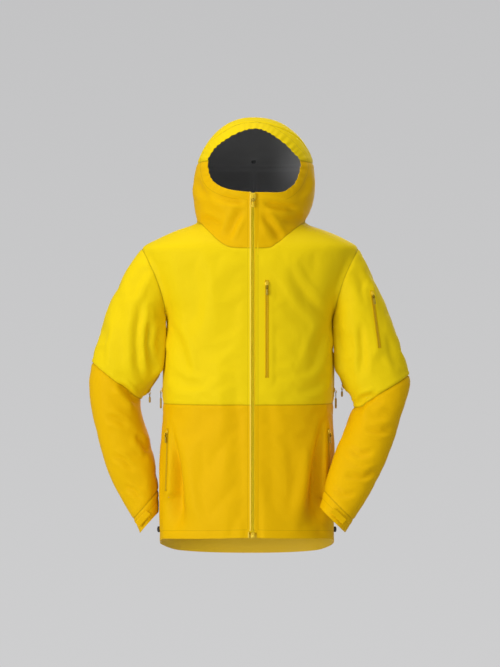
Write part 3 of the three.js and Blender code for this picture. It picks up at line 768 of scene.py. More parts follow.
def rumple(worn, which):
    """Seeded broad unevenness: long upright waves on the body, short ones across the arms."""
    zones = zone_of(worn, which)
    out = np.zeros(len(worn))
    arm = (70, 70, 48)
    stretch = {"body": (62, 62, 190), "hood": (70, 70, 55), "right_arm": arm, "left_arm": arm}
    height = {"body": 1.1, "hood": 1.1, "right_arm": 1.2, "left_arm": 1.2}
    for zone, size in stretch.items():
        index = np.flatnonzero(zones[zone])
        for octave, share in ((1.0, 1.0), (2.1, 0.4)):
            at = worn[index] / np.array(size) * octave + 17.3
            out[index] += height[zone] * share * np.array([noise.noise(p) for p in at])
    return out


def near_edges(worn, which):
    """Distance to the nearest seam and to the nearest free edge, in millimetres."""
    seam = np.full(len(worn), 60.0)
    edge = np.full(len(worn), 60.0)
    trunk = which == 0
    neck = above_neck(worn)
    hood = neck > 0
    x, y, z = worn.T
    both = {
        "yoke": (trunk & ~hood, z - YOKE), "side": (trunk & ~hood, y), "neck": (trunk, neck),
        "break": (trunk & hood, z - HOOD_BREAK), "brim": (trunk & hood & (z > HOOD_BREAK), behind_brim(worn)),
        "nape": (trunk & hood & (y > 0) & (z < HOOD_BREAK), x - 4),
    }
    for on, value in both.values():
        seam = np.where(on, np.minimum(seam, np.abs(value)), seam)
    edge = np.where(trunk, np.minimum(edge, above_hem(worn)), edge)
    edge = np.where(trunk, np.minimum(edge, np.maximum(beside_zip(worn), 0) + 12), edge)
    edge = np.where(trunk & (z > 840), np.minimum(edge, np.abs(outside_face(worn))), edge)
    for side in (-1, 1):
        on = which == side
        seam = np.where(on, np.minimum(seam, np.abs(past_elbow(worn, side))), seam)
        seam = np.where(on, np.minimum(seam, np.abs(up_arm(worn, side, CUFF_BAND))), seam)
        edge = np.where(on, np.minimum(edge, up_arm(worn, side)), edge)
        hole = np.abs(beyond(worn, side))
        seam = np.where(z > 575, np.minimum(seam, hole * 0.93), seam)
    facing = np.where(trunk, np.minimum(99, above_hem(worn)), 99.0)
    for side in (-1, 1):
        facing = np.where(which == side, np.minimum(99, up_arm(worn, side) + 20), facing)
    return seam, np.maximum(edge, 0), np.maximum(facing, 0)


def pit_fill(worn, normals, side):
    """How far the sleeve swells towards the trunk under the arm, where the two lie against each other."""
    towards = smooth(-side * normals[:, 0], 0.45, 0.85)
    height = np.interp(worn[:, 2], [404, 426, 440, 465, 515, 560, 590], [0, 7, 13.5, 12, 11, 9, 4])
    return towards * (height + (side + 1) / 2) * np.exp(-((worn[:, 1] + 34) / 14) ** 2)


def gathers(worn):
    """The small pleats that the drawcord draws into the brim along the face opening."""
    distance, share, _ = to_polyline(worn[:, [0, 2]], FACE_CURVE, True)
    fade = (1 - smooth(distance, 4, 30)) * (worn[:, 1] < -8) * (worn[:, 2] > 862)
    return 1.1 * fade * np.sin(share * 2 * math.pi * 43 + 1.6 * np.sin(share * 40))


def shaped(worn, normals, which, seams):
    """The skin with its folds, and the finer relief of its seams and turned edges if asked for."""
    free = calm_of(worn)
    seam, edge, _ = near_edges(worn, which)
    inward = (fold_depth(worn, normals, which) + rumple(worn, which)) * free
    inward *= 0.35 + 0.65 * smooth(edge, 0, 40)
    for side in (-1, 1):
        up = past_elbow(worn, side)
        over = np.where(up > 0.5, -0.9 * np.exp(-(up / 6) ** 2), 1.8 * np.exp(-(up / 8) ** 2))
        inward += np.where(which == side, over - pit_fill(worn, normals, side), 0)
    inward -= np.where(which == 0, 1.3 * np.exp(-(beside_zip(worn) / 3.5) ** 2), 0)
    inward += np.where(above_neck(worn) > 0, gathers(worn), 0)
    if seams:
        groove = 1.5 * np.exp(-(seam / 2.6) ** 2) - 0.5 * np.exp(-((seam - 6.5) / 4.0) ** 2)
        groove *= np.where((which == 0) & (worn[:, 2] > HOOD_BREAK + 8), 1.7, 1.0)
        turned = 0.5 * np.exp(-((edge - 21) / 2.4) ** 2) - 0.5 * (1 - smooth(edge, 12, 19))
        inward += (groove + turned) * free
    return worn - normals * inward[:, None]


# ---------------------------------------------------------------- drape
def drape():
    """A coarse copy of the folded skin let down under gravity for a moment: its points and how they moved."""
    bm, _, which = make_skin(11.0, False)
    worn = places(bm)
    normals = np.array([v.normal[:] for v in bm.verts])
    put(bm, shaped(worn, normals, which, False))
    mesh = bpy.data.meshes.new("drape")
    bm.to_mesh(mesh)
    bm.free()
    mesh.transform(Matrix.Scale(MM, 4))
    cloth = bpy.data.objects.new("drape", mesh)
    bpy.context.scene.collection.objects.link(cloth)
    seam, _, _ = near_edges(worn, which)
    held = 1 - calm_of(worn)
    high = np.where(which == 0, smooth(worn[:, 2], 690, 735), 0)
    level = np.clip(np.maximum(np.maximum(held, high), 0.10 + 0.25 * np.exp(-(seam / 14) ** 2)), 0, 1)
    pins = cloth.vertex_groups.new(name="pins")
    for index, weight in enumerate(level):
        pins.add([index], float(weight), "REPLACE")
    modifier = cloth.modifiers.new("cloth", "CLOTH")
    settings = modifier.settings
    settings.quality = 5
    settings.mass = 0.02
    settings.air_damping = 4
    settings.tension_stiffness = settings.compression_stiffness = 18
    settings.shear_stiffness = 8
    settings.bending_stiffness = 0.6
    settings.tension_damping = settings.compression_damping = 8
    settings.shear_damping = 8
    settings.vertex_group_mass = "pins"
    settings.pin_stiffness = 1.2
    settings.shrink_min = -0.012
    modifier.collision_settings.use_collision = False
    modifier.point_cache.frame_start, modifier.point_cache.frame_end = 1, 22
    before = np.array([v.co[:] for v in mesh.vertices])
    scene = bpy.context.scene
    for frame_number in range(1, 23):
        scene.frame_set(frame_number)
    evaluated = cloth.evaluated_get(bpy.context.evaluated_depsgraph_get())
    after = np.array([v.co[:] for v in evaluated.data.vertices])
    scene.frame_set(1)
    bpy.data.objects.remove(cloth)
    bpy.data.meshes.remove(mesh)
    return before / MM, (after - before) / MM, which


def moved_by(points, which, draped):
    """The drape's movement carried over to other points of the same skin, at most 6 mm."""
    out = np.zeros_like(points)
    start, move, coarse_which = draped
    for side in (-1, 0, 1):
        index = np.flatnonzero(coarse_which == side)
        tree = KDTree(len(index))
        for k in index:
            tree.insert(start[k], k)
        tree.balance()
        for k in np.flatnonzero(which == side):
            found = tree.find_n(points[k], 5)
            weights = np.array([1 / (d * d + 9) for _, _, d in found])
            out[k] = weights @ move[[i for _, i, _ in found]] / weights.sum()
    length = np.linalg.norm(out, axis=1, keepdims=True)
    return 0.65 * out * (9 * np.tanh(length / 9) / np.maximum(length, 1e-6))


# ---------------------------------------------------------------- meshes
LEMON, LEMON_SHADE = (0.820, 0.610, 0.004), (0.780, 0.565, 0.003)
GOLD, GOLD_SHADE = (0.790, 0.468, 0.0), (0.745, 0.425, 0.0)
# the gold facing inside the hems and cuffs, painted lighter than the shell gold to stand in for light in the
# shade inside the hem
FACING_PAINTED_LIGHTER = (0.90, 0.57, 0.0)
MATERIALS = {}


def add_object(name, points, faces, materials, numbers=None, smooth_faces=True):
    """A mesh object from garment points in millimetres."""
    mesh = bpy.data.meshes.new(name)
    mesh.from_pydata(row(points).tolist(), [], faces)
    for material in materials:
        mesh.materials.append(MATERIALS[material])
    if numbers is not None:
        mesh.polygons.foreach_set("material_index", np.asarray(numbers, np.int32))
    mesh.polygons.foreach_set("use_smooth", [smooth_faces] * len(mesh.polygons))
    mesh.update()
    thing = bpy.data.objects.new(name, mesh)
    bpy.context.scene.collection.objects.link(thing)
    return thing


def set_attribute(mesh, name, values):
    attribute = mesh.attributes.new(name, "FLOAT", "POINT")
    attribute.data.foreach_set("value", np.asarray(values, np.float32))


def sharpen(mesh, pairs):
    """Marks the edges between these pairs of points sharp."""
    wanted = {frozenset(p) for p in pairs}
    ends = np.zeros(len(mesh.edges) * 2, np.int32)
    mesh.edges.foreach_get("vertices", ends)
    flags = [frozenset((int(a), int(b))) in wanted for a, b in ends.reshape(-1, 2)]
    attribute = mesh.attributes.new("sharp_edge", "BOOLEAN", "EDGE")
    attribute.data.foreach_set("value", flags)


def thick_sheet(name, points, normals, faces, thickness, outer, inner, extra=None):
    """Cloth of a real thickness from one surface: its face, its lining and the cut edge between them."""
    used = sorted({v for f in faces for v in f})
    index = {v: i for i, v in enumerate(used)}
    count = len(used)
    out_faces = [[index[v] for v in f] for f in faces]
    directed = {}
    for f in out_faces:
        for a, b in zip(f, f[1:] + f[:1]):
            directed[(a, b)] = True
    border = [(a, b) for a, b in directed if (b, a) not in directed]
    back = [[v + count for v in reversed(f)] for f in out_faces]
    rim = [[b, a, a + count, b + count] for a, b in border]
    both = np.concatenate([points[used], points[used] - normals[used] * thickness])
    numbers = [0] * len(out_faces) + [1] * len(back) + [0] * len(rim)
    thing = add_object(name, both, out_faces + back + rim, [outer, inner], numbers)
    sharpen(thing.data, border + [(a + count, b + count) for a, b in border])
    if extra is None:
        unseamed(thing)
        return thing
    for key, values in extra.items():
        set_attribute(thing.data, key, np.tile(np.asarray(values)[used], 2))
    return thing


def unseamed(thing):
    """Keeps the seam colour, the facing's gold (painted lighter against its shade) and the painted highlight
    off a piece that has none.
    """
    for key in ("seam", "edge", "facing", "painted_glint"):
        set_attribute(thing.data, key, np.full(len(thing.data.vertices), 99.0))


def cloth_area(faces, points):
    """Square metres of a set of faces."""
    total = 0.0
    for f in faces:
        corners = points[f]
        fan = np.cross(corners[1:-1] - corners[0], corners[2:] - corners[0])
        total += np.linalg.norm(fan, axis=1).sum() / 2
    return total * MM * MM


def declare_sheet(area, length):
    """Works out the rectangle a panel would be cut from, as long as it is tall and wide enough for its area,
    but keeps none of it.
    """
    length = round(length * MM, 3)
    width = round(area * 1.12 / length, 3)
    area = round(min(area, width * length), 5)


def line_mask(nodes, links, attribute, middle, half, soft):
    """1 within `half` millimetres of an attribute's value, fading over `soft`."""
    source = nodes.new("ShaderNodeAttribute")
    source.attribute_name = attribute
    away = nodes.new("ShaderNodeMath")
    away.operation = "SUBTRACT"
    away.inputs[1].default_value = middle
    size = nodes.new("ShaderNodeMath")
    size.operation = "ABSOLUTE"
    ramp = nodes.new("ShaderNodeMapRange")
    ramp.interpolation_type = "SMOOTHSTEP"
    ramp.inputs["From Min"].default_value = half
    ramp.inputs["From Max"].default_value = half + soft
    ramp.inputs["To Min"].default_value = 1.0
    ramp.inputs["To Max"].default_value = 0.0
    links.new(source.outputs["Fac"], away.inputs[0])
    links.new(away.outputs[0], size.inputs[0])
    links.new(size.outputs[0], ramp.inputs["Value"])
    return ramp.outputs[0]


def tinted(material, mask, color, strength):
    """Lays a colour over a material's own where the mask is 1."""
    nodes, links = material.node_tree.nodes, material.node_tree.links
    shader = nodes["Principled BSDF"]
    before = shader.inputs["Base Color"].links[0].from_socket
    amount = nodes.new("ShaderNodeMath")
    amount.operation = "MULTIPLY"
    amount.inputs[1].default_value = strength
    over = nodes.new("ShaderNodeMix")
    over.data_type = "RGBA"
    over.inputs[7].default_value = (*color, 1)
    links.new(mask, amount.inputs[0])
    links.new(amount.outputs[0], over.inputs[0])
    links.new(before, over.inputs[6])
    links.new(over.outputs[2], shader.inputs["Base Color"])


def make_materials():
    for name, color, shade in (("lemon", LEMON, LEMON_SHADE), ("gold", GOLD, GOLD_SHADE)):
        material = fabric("shell_" + name, color, shade)
        nodes, links = material.node_tree.nodes, material.node_tree.links
        dark = tuple(c * 0.62 for c in color)
        tinted(material, line_mask(nodes, links, "edge", 19.0, 0.35, 0.5), dark, 0.55)
        tinted(material, line_mask(nodes, links, "seam", 0.0, 0.7, 1.5), dark, 0.72)
        # painted highlight: a pale yellow line on the cloth just left of the main zip's slot, standing in for
        # light caught by the cloth's turned edge
        tinted(material, line_mask(nodes, links, "painted_glint", 1.2, 0.8, 1.2), (1.0, 0.80, 0.14), 0.45)
        MATERIALS[name] = material
    lining = fabric("lining_grey", (0.290, 0.290, 0.292), (0.215, 0.215, 0.217), 0.55, 0.0011,
                    0.00005, 0.4, 0.4)
    nodes, links = lining.node_tree.nodes, lining.node_tree.links
    tinted(lining, line_mask(nodes, links, "seam", 0.0, 9.5, 0.6), (0.302, 0.302, 0.306), 0.5)
    # the gold facing inside hems and cuffs; its colour is painted lighter to make up for the shade there
    tinted(lining, line_mask(nodes, links, "facing", 0.0, 70.0, 0.5), FACING_PAINTED_LIGHTER, 1.0)
    MATERIALS["lining"] = lining
    MATERIALS["mesh_bag"] = fabric("pocket_mesh", (0.070, 0.070, 0.072), (0.045, 0.045, 0.047), 0.8, 0.0016,
                                   0.00012, 0.2)
    MATERIALS["tape_dark"] = fabric("pocket_tape", (0.66, 0.39, 0.0), (0.60, 0.35, 0.0), 0.6, 0.0006, 0.00008)
    MATERIALS["teeth_dark"] = painted("pocket_coil", (0.60, 0.37, 0.004), 0.6, 0.0)
    # the main zip's tape and coil: gold, painted lighter than the shell gold to stand in for light that the
    # shaded slot keeps off them
    MATERIALS["tape"] = fabric("zip_tape", (0.95, 0.66, 0.01), (0.88, 0.60, 0.005), 0.6, 0.0006, 0.00008)
    MATERIALS["webbing"] = fabric("webbing", (0.052, 0.052, 0.054), (0.035, 0.035, 0.037), 0.75, 0.0012,
                                  0.0002, 0.2)
    MATERIALS["metal"] = painted("zip_hardware", (0.84, 0.57, 0.012), 0.32, 0.3)
    MATERIALS["teeth"] = painted("zip_coil", (0.98, 0.72, 0.01), 0.7, 0.0)
    MATERIALS["teeth"].node_tree.nodes["Principled BSDF"].inputs["Specular IOR Level"].default_value = 0.12
    MATERIALS["pull"] = painted("zip_pull", (0.44, 0.29, 0.006), 0.45, 0.0)
    MATERIALS["cord"] = fabric("pull_cord", (0.13, 0.095, 0.010), (0.09, 0.065, 0.008), 0.75, 0.0006, 0.00015)
    MATERIALS["moulded"] = painted("cord_hardware", (0.018, 0.018, 0.02), 0.4, 0.0)


def painted(name, color, roughness, metallic):
    """Coloured moulding or painted metal: fine orange peel, slight mottling, and edges rubbed lighter."""
    material = plain_material(name, color, roughness)
    nodes, links = material.node_tree.nodes, material.node_tree.links
    shader = nodes["Principled BSDF"]
    shader.inputs["Metallic"].default_value = metallic
    coords = nodes.new("ShaderNodeTexCoord")
    peel = nodes.new("ShaderNodeTexNoise")
    peel.inputs["Scale"].default_value = 1400.0
    mottle = nodes.new("ShaderNodeTexNoise")
    mottle.inputs["Scale"].default_value = 160.0
    mottle.inputs["Detail"].default_value = 4.0
    tint = nodes.new("ShaderNodeMix")
    tint.data_type = "RGBA"
    tint.inputs[6].default_value = (*color, 1)
    tint.inputs[7].default_value = (*[c * 0.82 for c in color], 1)
    rough = nodes.new("ShaderNodeMapRange")
    rough.inputs["To Min"].default_value = roughness - 0.07
    rough.inputs["To Max"].default_value = roughness + 0.1
    rub = nodes.new("ShaderNodeNewGeometry")
    worn = nodes.new("ShaderNodeMapRange")
    worn.inputs["From Min"].default_value = 0.56
    worn.inputs["From Max"].default_value = 0.72
    worn.inputs["To Max"].default_value = 0.35
    edge = nodes.new("ShaderNodeMix")
    edge.data_type = "RGBA"
    edge.inputs[7].default_value = (*[min(1, c * 1.3 + 0.03) for c in color], 1)
    bump = nodes.new("ShaderNodeBump")
    bump.inputs["Strength"].default_value = 0.25
    bump.inputs["Distance"].default_value = 0.00005
    links.new(coords.outputs["Object"], peel.inputs["Vector"])
    links.new(coords.outputs["Object"], mottle.inputs["Vector"])
    links.new(mottle.outputs["Fac"], tint.inputs[0])
    links.new(rub.outputs["Pointiness"], worn.inputs["Value"])
    links.new(worn.outputs[0], edge.inputs[0])
    links.new(tint.outputs[2], edge.inputs[6])
    links.new(edge.outputs[2], shader.inputs["Base Color"])
    links.new(mottle.outputs["Fac"], rough.inputs["Value"])
    links.new(rough.outputs[0], shader.inputs["Roughness"])
    links.new(peel.outputs["Fac"], bump.inputs["Height"])
    links.new(bump.outputs["Normal"], shader.inputs["Normal"])
    return material


# ---------------------------------------------------------------- panels
REPLACED = {
    "hood_lower_left": ("collar_left", "hood_side_left", "hood_nape_gusset"),
    "hood_lower_right": ("collar_right", "hood_side_right"),
}


# how far down the arm from its seam the cloth takes to turn with the next body
SHOULDER_TURN = 63
ELBOW_TURN = 84


def blends():
    """For each kind of panel that crosses a joint: its two bodies, and where the bend starts and ends."""
    out = {}
    for name, sleeve in SLEEVES.items():
        out["sleeve_upper_" + name] = ("root", "sleeve_" + name, *across(sleeve["armhole"], 0, SHOULDER_TURN))
        bend = across(sleeve["elbow"], -60, ELBOW_TURN)
        out["sleeve_lower_" + name] = ("sleeve_" + name, "forearm_" + name, *bend)
    for name in ("hood_lower_left", "hood_lower_right", "hood_brim", "hood_crown"):
        out[name] = ("root", "hood", (0, 0, 866), (0, 0, 940))
    return out


def across(line, y, reach):
    """The middle of a front-view line, and the point `reach` away from it, square to it and down the arm."""
    (x0, z0), (x1, z1) = line
    length = math.hypot(x1 - x0, z1 - z0)
    normal = np.array([(z1 - z0) / length, 0, -(x1 - x0) / length])
    if normal[2] > 0:
        normal = -normal
    middle = np.array([(x0 + x1) / 2, y, (z0 + z1) / 2])
    return middle, middle + normal * reach


def clinging(points, normals, which):
    """The cloth round each pocket and pit zip moved to lie right under its tapes."""
    sides = {"sleeve_left": 1, "sleeve_right": -1, "root": 0}
    out = points.copy()
    for name, (start, end, outward) in pocket_zips().items():
        origin, length, wide, off, along = zip_frame(start, end, outward)
        local = out - origin
        x, y, z = np.abs(local @ wide), local @ off, local @ along
        beside, beyond = (17, 14) if "pit" in name else (22, 30)
        ends = smooth(z, -beyond, -3) * (1 - smooth(z, length + 3, length + beyond))
        weight = (1 - smooth(x, 6, beside)) * ends
        weight *= smooth(normals @ off, 0.2, 0.6) * (which == sides[host_of(name)]) * (np.abs(y) < 14)
        out += off * ((0.45 - y) * weight)[:, None]
    return out


def make_panels():
    bm, number, which = make_skin(VOXEL, True)
    worn = places(bm)
    normals = np.array([v.normal[:] for v in bm.verts])
    points = shaped(worn, normals, which, True)
    points += moved_by(points, which, drape()) * calm_of(worn)[:, None]
    points = clinging(points, normals, which)
    put(bm, points)
    bm.normal_update()
    normals = np.array([v.normal[:] for v in bm.verts])
    seam, edge, facing = near_edges(worn, which)
    # distance out from the main zip's slot on its left side, which places the painted highlight there
    painted_glint = np.where((which == 0) & (worn[:, 0] < ZIP_X), np.clip(beside_zip(worn), 0, 60), 60)
    faces = [[v.index for v in f.verts] for f in bm.faces]
    bm.free()
    bends = blends()
    for k, name in enumerate(panel_names()):
        own = [f for f, n in zip(faces, number) if n == k]
        gold = "lower" in name or "cuff" in name
        outer = "gold" if gold else "lemon"
        panel = thick_sheet("cloth_" + name, points, normals, own, CLOTH, outer, "lining",
                            {"seam": seam, "edge": edge, "facing": facing, "painted_glint": painted_glint})
        corners = points[sorted({v for f in own for v in f})]
        length = np.ptp(corners[:, 2])
        declare_sheet(cloth_area(own, points), max(length, 40))
        if name in bends:
            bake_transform(panel)
        elif "cuff" in name:
            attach(panel, "forearm_" + name.split("_")[-1])
        else:
            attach(panel, "root")
        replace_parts(panel, *REPLACED.get(name, (name,)))
    return points, normals, worn, faces, number


# ---------------------------------------------------------------- strips, zips and trimmings
def ribbon(name, centres, outward, half_width, thickness, material):
    """A flat band with softened edges along a path; `outward` is its face's direction at each point."""
    centres, outward = np.asarray(centres, float), np.asarray(outward, float)
    if outward.ndim == 1:
        outward = np.tile(outward, (len(centres), 1))
    along = np.gradient(centres, axis=0)
    along /= np.linalg.norm(along, axis=1, keepdims=True)
    outward -= along * (outward * along).sum(1, keepdims=True)
    outward /= np.linalg.norm(outward, axis=1, keepdims=True)
    wide = np.cross(along, outward)
    soft, t = min(0.5, half_width / 3), thickness / 2
    section = [(-half_width, 0), (-half_width + soft, t)]
    section += [(half_width * u, t) for u in (-0.5, 0, 0.5)] + [(half_width - soft, t), (half_width, 0)]
    section += [(x, -z) for x, z in section[-2:0:-1]]
    section = np.array(section)
    rings = centres[:, None] + wide[:, None] * section[None, :, :1] + outward[:, None] * section[None, :, 1:]
    count = len(section)
    faces = [[a[1], a[0], a[3], a[2]] for a in grid_faces(len(centres), count)]
    faces += [list(range(count)), list(range(len(centres) * count - count, len(centres) * count))[::-1]]
    faces = [f[::-1] for f in faces]
    band = add_object(name, rings.reshape(-1, 3), faces, [material])
    unseamed(band)
    return band


def zip_frame(start, end, outward):
    """Origin, length and the directions across, outward and along of a zip."""
    start, end, outward = (np.asarray(v, float) for v in (start, end, outward))
    along = (end - start) / np.linalg.norm(end - start)
    outward = outward - along * (outward @ along)
    outward /= np.linalg.norm(outward)
    return start, np.linalg.norm(end - start), np.cross(outward, along), outward, along


def coil(name, frame_of, low, high, pitch, reach, stand, depth, material):
    """Two rows of rounded teeth that mesh along a zip's middle, as one mesh."""
    origin, _, wide, out, along = frame_of
    shape = [(-1, -1), (1, -1), (1, 1), (-1, 1)]
    points, faces = [], []
    for k in range(int((high - low) / pitch * 2)):
        side = 1 if k % 2 else -1
        z = low + k * pitch / 2
        for share, x, y in ((0.42, side * reach, depth * 0.35), (0.42, side * reach * 0.45, depth),
                            (0.30, -side * reach * 0.22, depth * 0.75)):
            half = pitch * share * 0.5
            points += [origin + wide * x + out * (stand + y * (0.5 + 0.5 * b)) + along * (z + a * half)
                       for a, b in shape]
        base = k * 12
        for r in (0, 4):
            faces += [[base + r + i, base + r + (i + 1) % 4, base + r + 4 + (i + 1) % 4, base + r + 4 + i]
                      for i in range(4)]
        faces += [[base + 3, base + 2, base + 1, base], [base + 8, base + 9, base + 10, base + 11]]
    thing = add_object(name, np.array(points), faces, [material])
    tidy_normals(thing)
    return thing


def tidy_normals(thing):
    bm = bmesh.new()
    bm.from_mesh(thing.data)
    bmesh.ops.recalc_face_normals(bm, faces=bm.faces)
    bm.to_mesh(thing.data)
    bm.free()


def pushed(point, outward, distance):
    outward = np.asarray(outward, float)
    return np.asarray(point, float) + outward / np.linalg.norm(outward) * distance


def pocket_zips():
    pocket = (0.44, -0.87, 0.2)
    zips = {
        "chest_zip": ((35, -147.3, 422), (35, -147.3, 652), (0, -1, 0)),
        "sleeve_zip": (pushed((301.5, -84.4, 491), pocket, 3.4), pushed((284, -62.6, 628), pocket, 3.4),
                       pocket),
        "pit_zip_trunk_right": ((-215, -6, 372), (-213.2, -6, 470), (-1, 0, 0)),
        "pit_zip_trunk_left": ((197, -6, 372), (197.8, -6, 470), (1, 0, 0)),
    }
    under = {
        "pit_zip_sleeve_right": ((-256, 1, 383), (-228, 1, 424), (0.81, -0.1, -0.57), 2.4),
        "pit_zip_sleeve_left": ((226, -18, 393.5), (213, -10, 427), (-0.92, 0.13, -0.37), 2.4),
        "hand_zip_right": ((-203.3, -70.9, 150), (-198.6, -69.8, 300), (-0.85, -0.53, 0), 2.3),
        "hand_zip_left": ((181.3, -71, 150), (179.4, -69.5, 300), (0.87, -0.49, 0), 2.3),
    }
    for name, (start, end, out, push) in under.items():
        zips[name] = (pushed(start, out, push), pushed(end, out, push), out)
    return zips


def host_of(name):
    return {"sleeve_zip": "sleeve_left", "pit_zip_sleeve_left": "sleeve_left",
            "pit_zip_sleeve_right": "sleeve_right"}.get(name, "root")


def make_zips():
    steps = 24
    for name, (start, end, outward) in pocket_zips().items():
        frame_of = zip_frame(start, end, outward)
        origin, length, wide, out, along = frame_of
        body = host_of(name)
        lengths = np.linspace(0, length, steps)[:, None] * along
        for side, word in ((-1, "a"), (1, "b")):
            centres = origin + lengths + wide * side * 2.75 + out * 1.0
            tape = ribbon(f"tape_{name}_{word}", centres, out, 1.75, 0.8, "tape_dark")
            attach(tape, body)
            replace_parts(tape, name + "_tape")
        teeth = coil("coil_" + name, frame_of, 1.0, length - 1.0, 1.9, 1.25, 0.75, 0.95, "teeth_dark")
        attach(teeth, body)
    foot = ZIP_FOOT + 12.4
    frame_of = zip_frame((ZIP_X, -146.4, 0), (ZIP_X, -146.4, 900), (0, -1, 0))
    for side, word in ((-1, "right"), (1, "left")):
        centres = [(ZIP_X + side * 7.6, -146.85, z) for z in np.linspace(foot, 857, 80)]
        tape = ribbon("tape_main_" + word, centres, (0, -1, 0), 5.3, 0.8, "tape")
        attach(tape, "root")
        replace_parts(tape, "main_zip_tape_" + word)
    teeth = coil("coil_main", frame_of, foot + 1, 852, 2.4, 3.5, 1.1, 1.9, "teeth")
    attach(teeth, "root")
    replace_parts(teeth, "main_zip_chain")


def front_y(x, z, inset=0.0):
    """Y of the trunk's front, drawn in by `inset`, at a front-view place."""
    stations = np.array(TRUNK, float)
    right, left, front = (np.interp(z, stations[:, 0], stations[:, k]) for k in (1, 2, 3))
    share = np.abs(x) / (np.where(np.asarray(x) > 0, left, right) - inset)
    return -(front - inset) * (1 - np.minimum(share, 0.999) ** TRUNK_SQUARE) ** (1 / TRUNK_SQUARE)


def patch(name, x0, x1, z0, z1, inset, material, body="root", corner=14.0, wave=0.6):
    """A flat inner piece that follows the front from behind, with rounded corners."""
    across_n, up_n = 26, max(10, int((z1 - z0) / 8))
    u, v = np.meshgrid(np.linspace(-1, 1, across_n), np.linspace(-1, 1, up_n))
    half = np.array([(x1 - x0) / 2, (z1 - z0) / 2])
    pull_in = 1 - (corner / half.min()) * 0.29 * np.clip((np.abs(u) - 0.7) / 0.3, 0, 1) ** 2 \
        * np.clip((np.abs(v) - 0.7) / 0.3, 0, 1) ** 2
    x = (x0 + x1) / 2 + u * half[0] * pull_in
    z = (z0 + z1) / 2 + v * half[1] * pull_in
    y = front_y(x, np.minimum(z, 725), inset) + wave * np.sin(z / 23.0) * np.sin(x / 17.0)
    points = np.stack([x, y, z], axis=2).reshape(-1, 3)
    normals = np.zeros_like(points)
    normals[:, 1] = -1
    faces = [[r * across_n + c, r * across_n + c + 1, (r + 1) * across_n + c + 1, (r + 1) * across_n + c]
             for r in range(up_n - 1) for c in range(across_n - 1)]
    piece = thick_sheet(name, points, normals, faces, 0.9, material, material)
    declare_sheet(cloth_area(faces, points), z1 - z0)
    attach(piece, body)
    return piece


BAGS = {
    "bag_chest": ("chest_pocket_bag", 30, 146, 446, 636, (2, 3)),
    "bag_hand_right": ("hand_pocket_bag_right", -184, -42, 114, 316, (0, 2)),
    "bag_hand_left": ("hand_pocket_bag_left", 46, 164, 114, 316, (1, 3)),
}


def round_off(points, faces, steps=14):
    """Smooths the outline of a set of faces by evening out the points along it."""
    sides = {(a, b) for f in faces for a, b in zip(f, f[1:] + f[:1])}
    after = {a: b for a, b in sides if (b, a) not in sides}
    before = {b: a for a, b in after.items()}
    rim = [v for v in after if v in before]
    last, following = [before[v] for v in rim], [after[v] for v in rim]
    for _ in range(steps):
        points[rim] += 0.5 * ((points[last] + points[following]) / 2 - points[rim])


def make_bags(skin):
    """Pocket bags against the inside of the fronts: the cloth over them, drawn in, with trimmed corners."""
    points, normals, worn, faces, number = skin
    centres = np.array([worn[f].mean(0) for f in faces])
    for name, (node, x0, x1, z0, z1, panels) in BAGS.items():
        middle, half = np.array([(x0 + x1) / 2, (z0 + z1) / 2]), np.array([(x1 - x0) / 2, (z1 - z0) / 2])

        def outside(flat):
            q = np.abs(flat - middle) - half + 16
            return np.linalg.norm(np.maximum(q, 0), axis=1) + np.minimum(q.max(1), 0) - 16

        chosen = (outside(centres[:, [0, 2]]) < 0) & np.isin(number, panels)
        own = [f for f, inside in zip(faces, chosen) if inside]
        out = points - normals * (CLOTH + 1.4)
        round_off(out, own)
        piece = thick_sheet(name, out, normals, own, 0.8, "mesh_bag", "mesh_bag")
        declare_sheet(cloth_area(own, out), z1 - z0)
        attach(piece, "root")
        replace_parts(piece, node)


def make_inside(skin):
    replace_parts(patch("flap_storm", ZIP_X - 19, ZIP_X + 19, 54, 846, 4.3, "gold", corner=6,
                      wave=0.0), "storm_flap")
    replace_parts(patch("guard_chin", ZIP_X - 33, ZIP_X + 33, 807, 849, 6.4, "mesh_bag", corner=8, wave=0.0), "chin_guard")
    make_bags(skin)
    knots = [(-30, 84.5, 772), (-24, 83.5, 788), (-10, 82.5, 797), (10, 82.5, 797), (24, 83.5, 788),
             (30, 84.5, 772)]
    path = spline(knots, np.linspace(0, 5, 44))
    turned = np.gradient(path, axis=0)
    outward = np.stack([-turned[:, 2], 0 * turned[:, 0], turned[:, 0]], axis=1)
    loop = ribbon("loop_hang", path, outward, 3.9, 1.3, "webbing")
    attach(loop, "root")
    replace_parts(loop, "hang_loop")


def make_tabs():
    tabs = {"right": ((-262, -39.5, 82), (-0.66, 0, -0.75), (0, -1, 0)),
            "left": ((201, -198.5, 102), (0.72, 0, -0.695), (0.1, -0.93, 0.34))}
    for name, (middle, along, outward) in tabs.items():
        far = np.array(middle) + np.array(along)
        origin, _, _, out, way = zip_frame(middle, far, outward)
        steps = np.linspace(-20, 20, 26)
        centres = [origin + way * s - out * 0.55 * (s / 20) ** 2 for s in steps]
        tab = ribbon("tab_" + name, centres, out, 8, 1.5, "gold")
        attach(tab, "cuff_tab_" + name)
        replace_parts(tab, "cuff_tab_" + name)


# ---------------------------------------------------------------- sliders, pulls and cord hardware
def stacked(outline, levels, frame_of, middle=(0.0, 0.0)):
    """Points and faces of a body with rounded edges: an outline, drawn in by an inset at each level."""
    origin, _, wide, out, along = frame_of
    outline = closed_curve(outline, 3)
    half = np.abs(outline - middle).max(0)
    rings = []
    for level, inset in levels:
        flat = middle + (outline - middle) * (1 - inset / half)
        rings.append(origin + wide * flat[:, :1] + along * flat[:, 1:] + out * level)
    count = len(outline)
    faces = grid_faces(len(rings), count)
    faces += [list(range(count))[::-1], list(range((len(rings) - 1) * count, len(rings) * count))]
    return np.concatenate(rings), faces


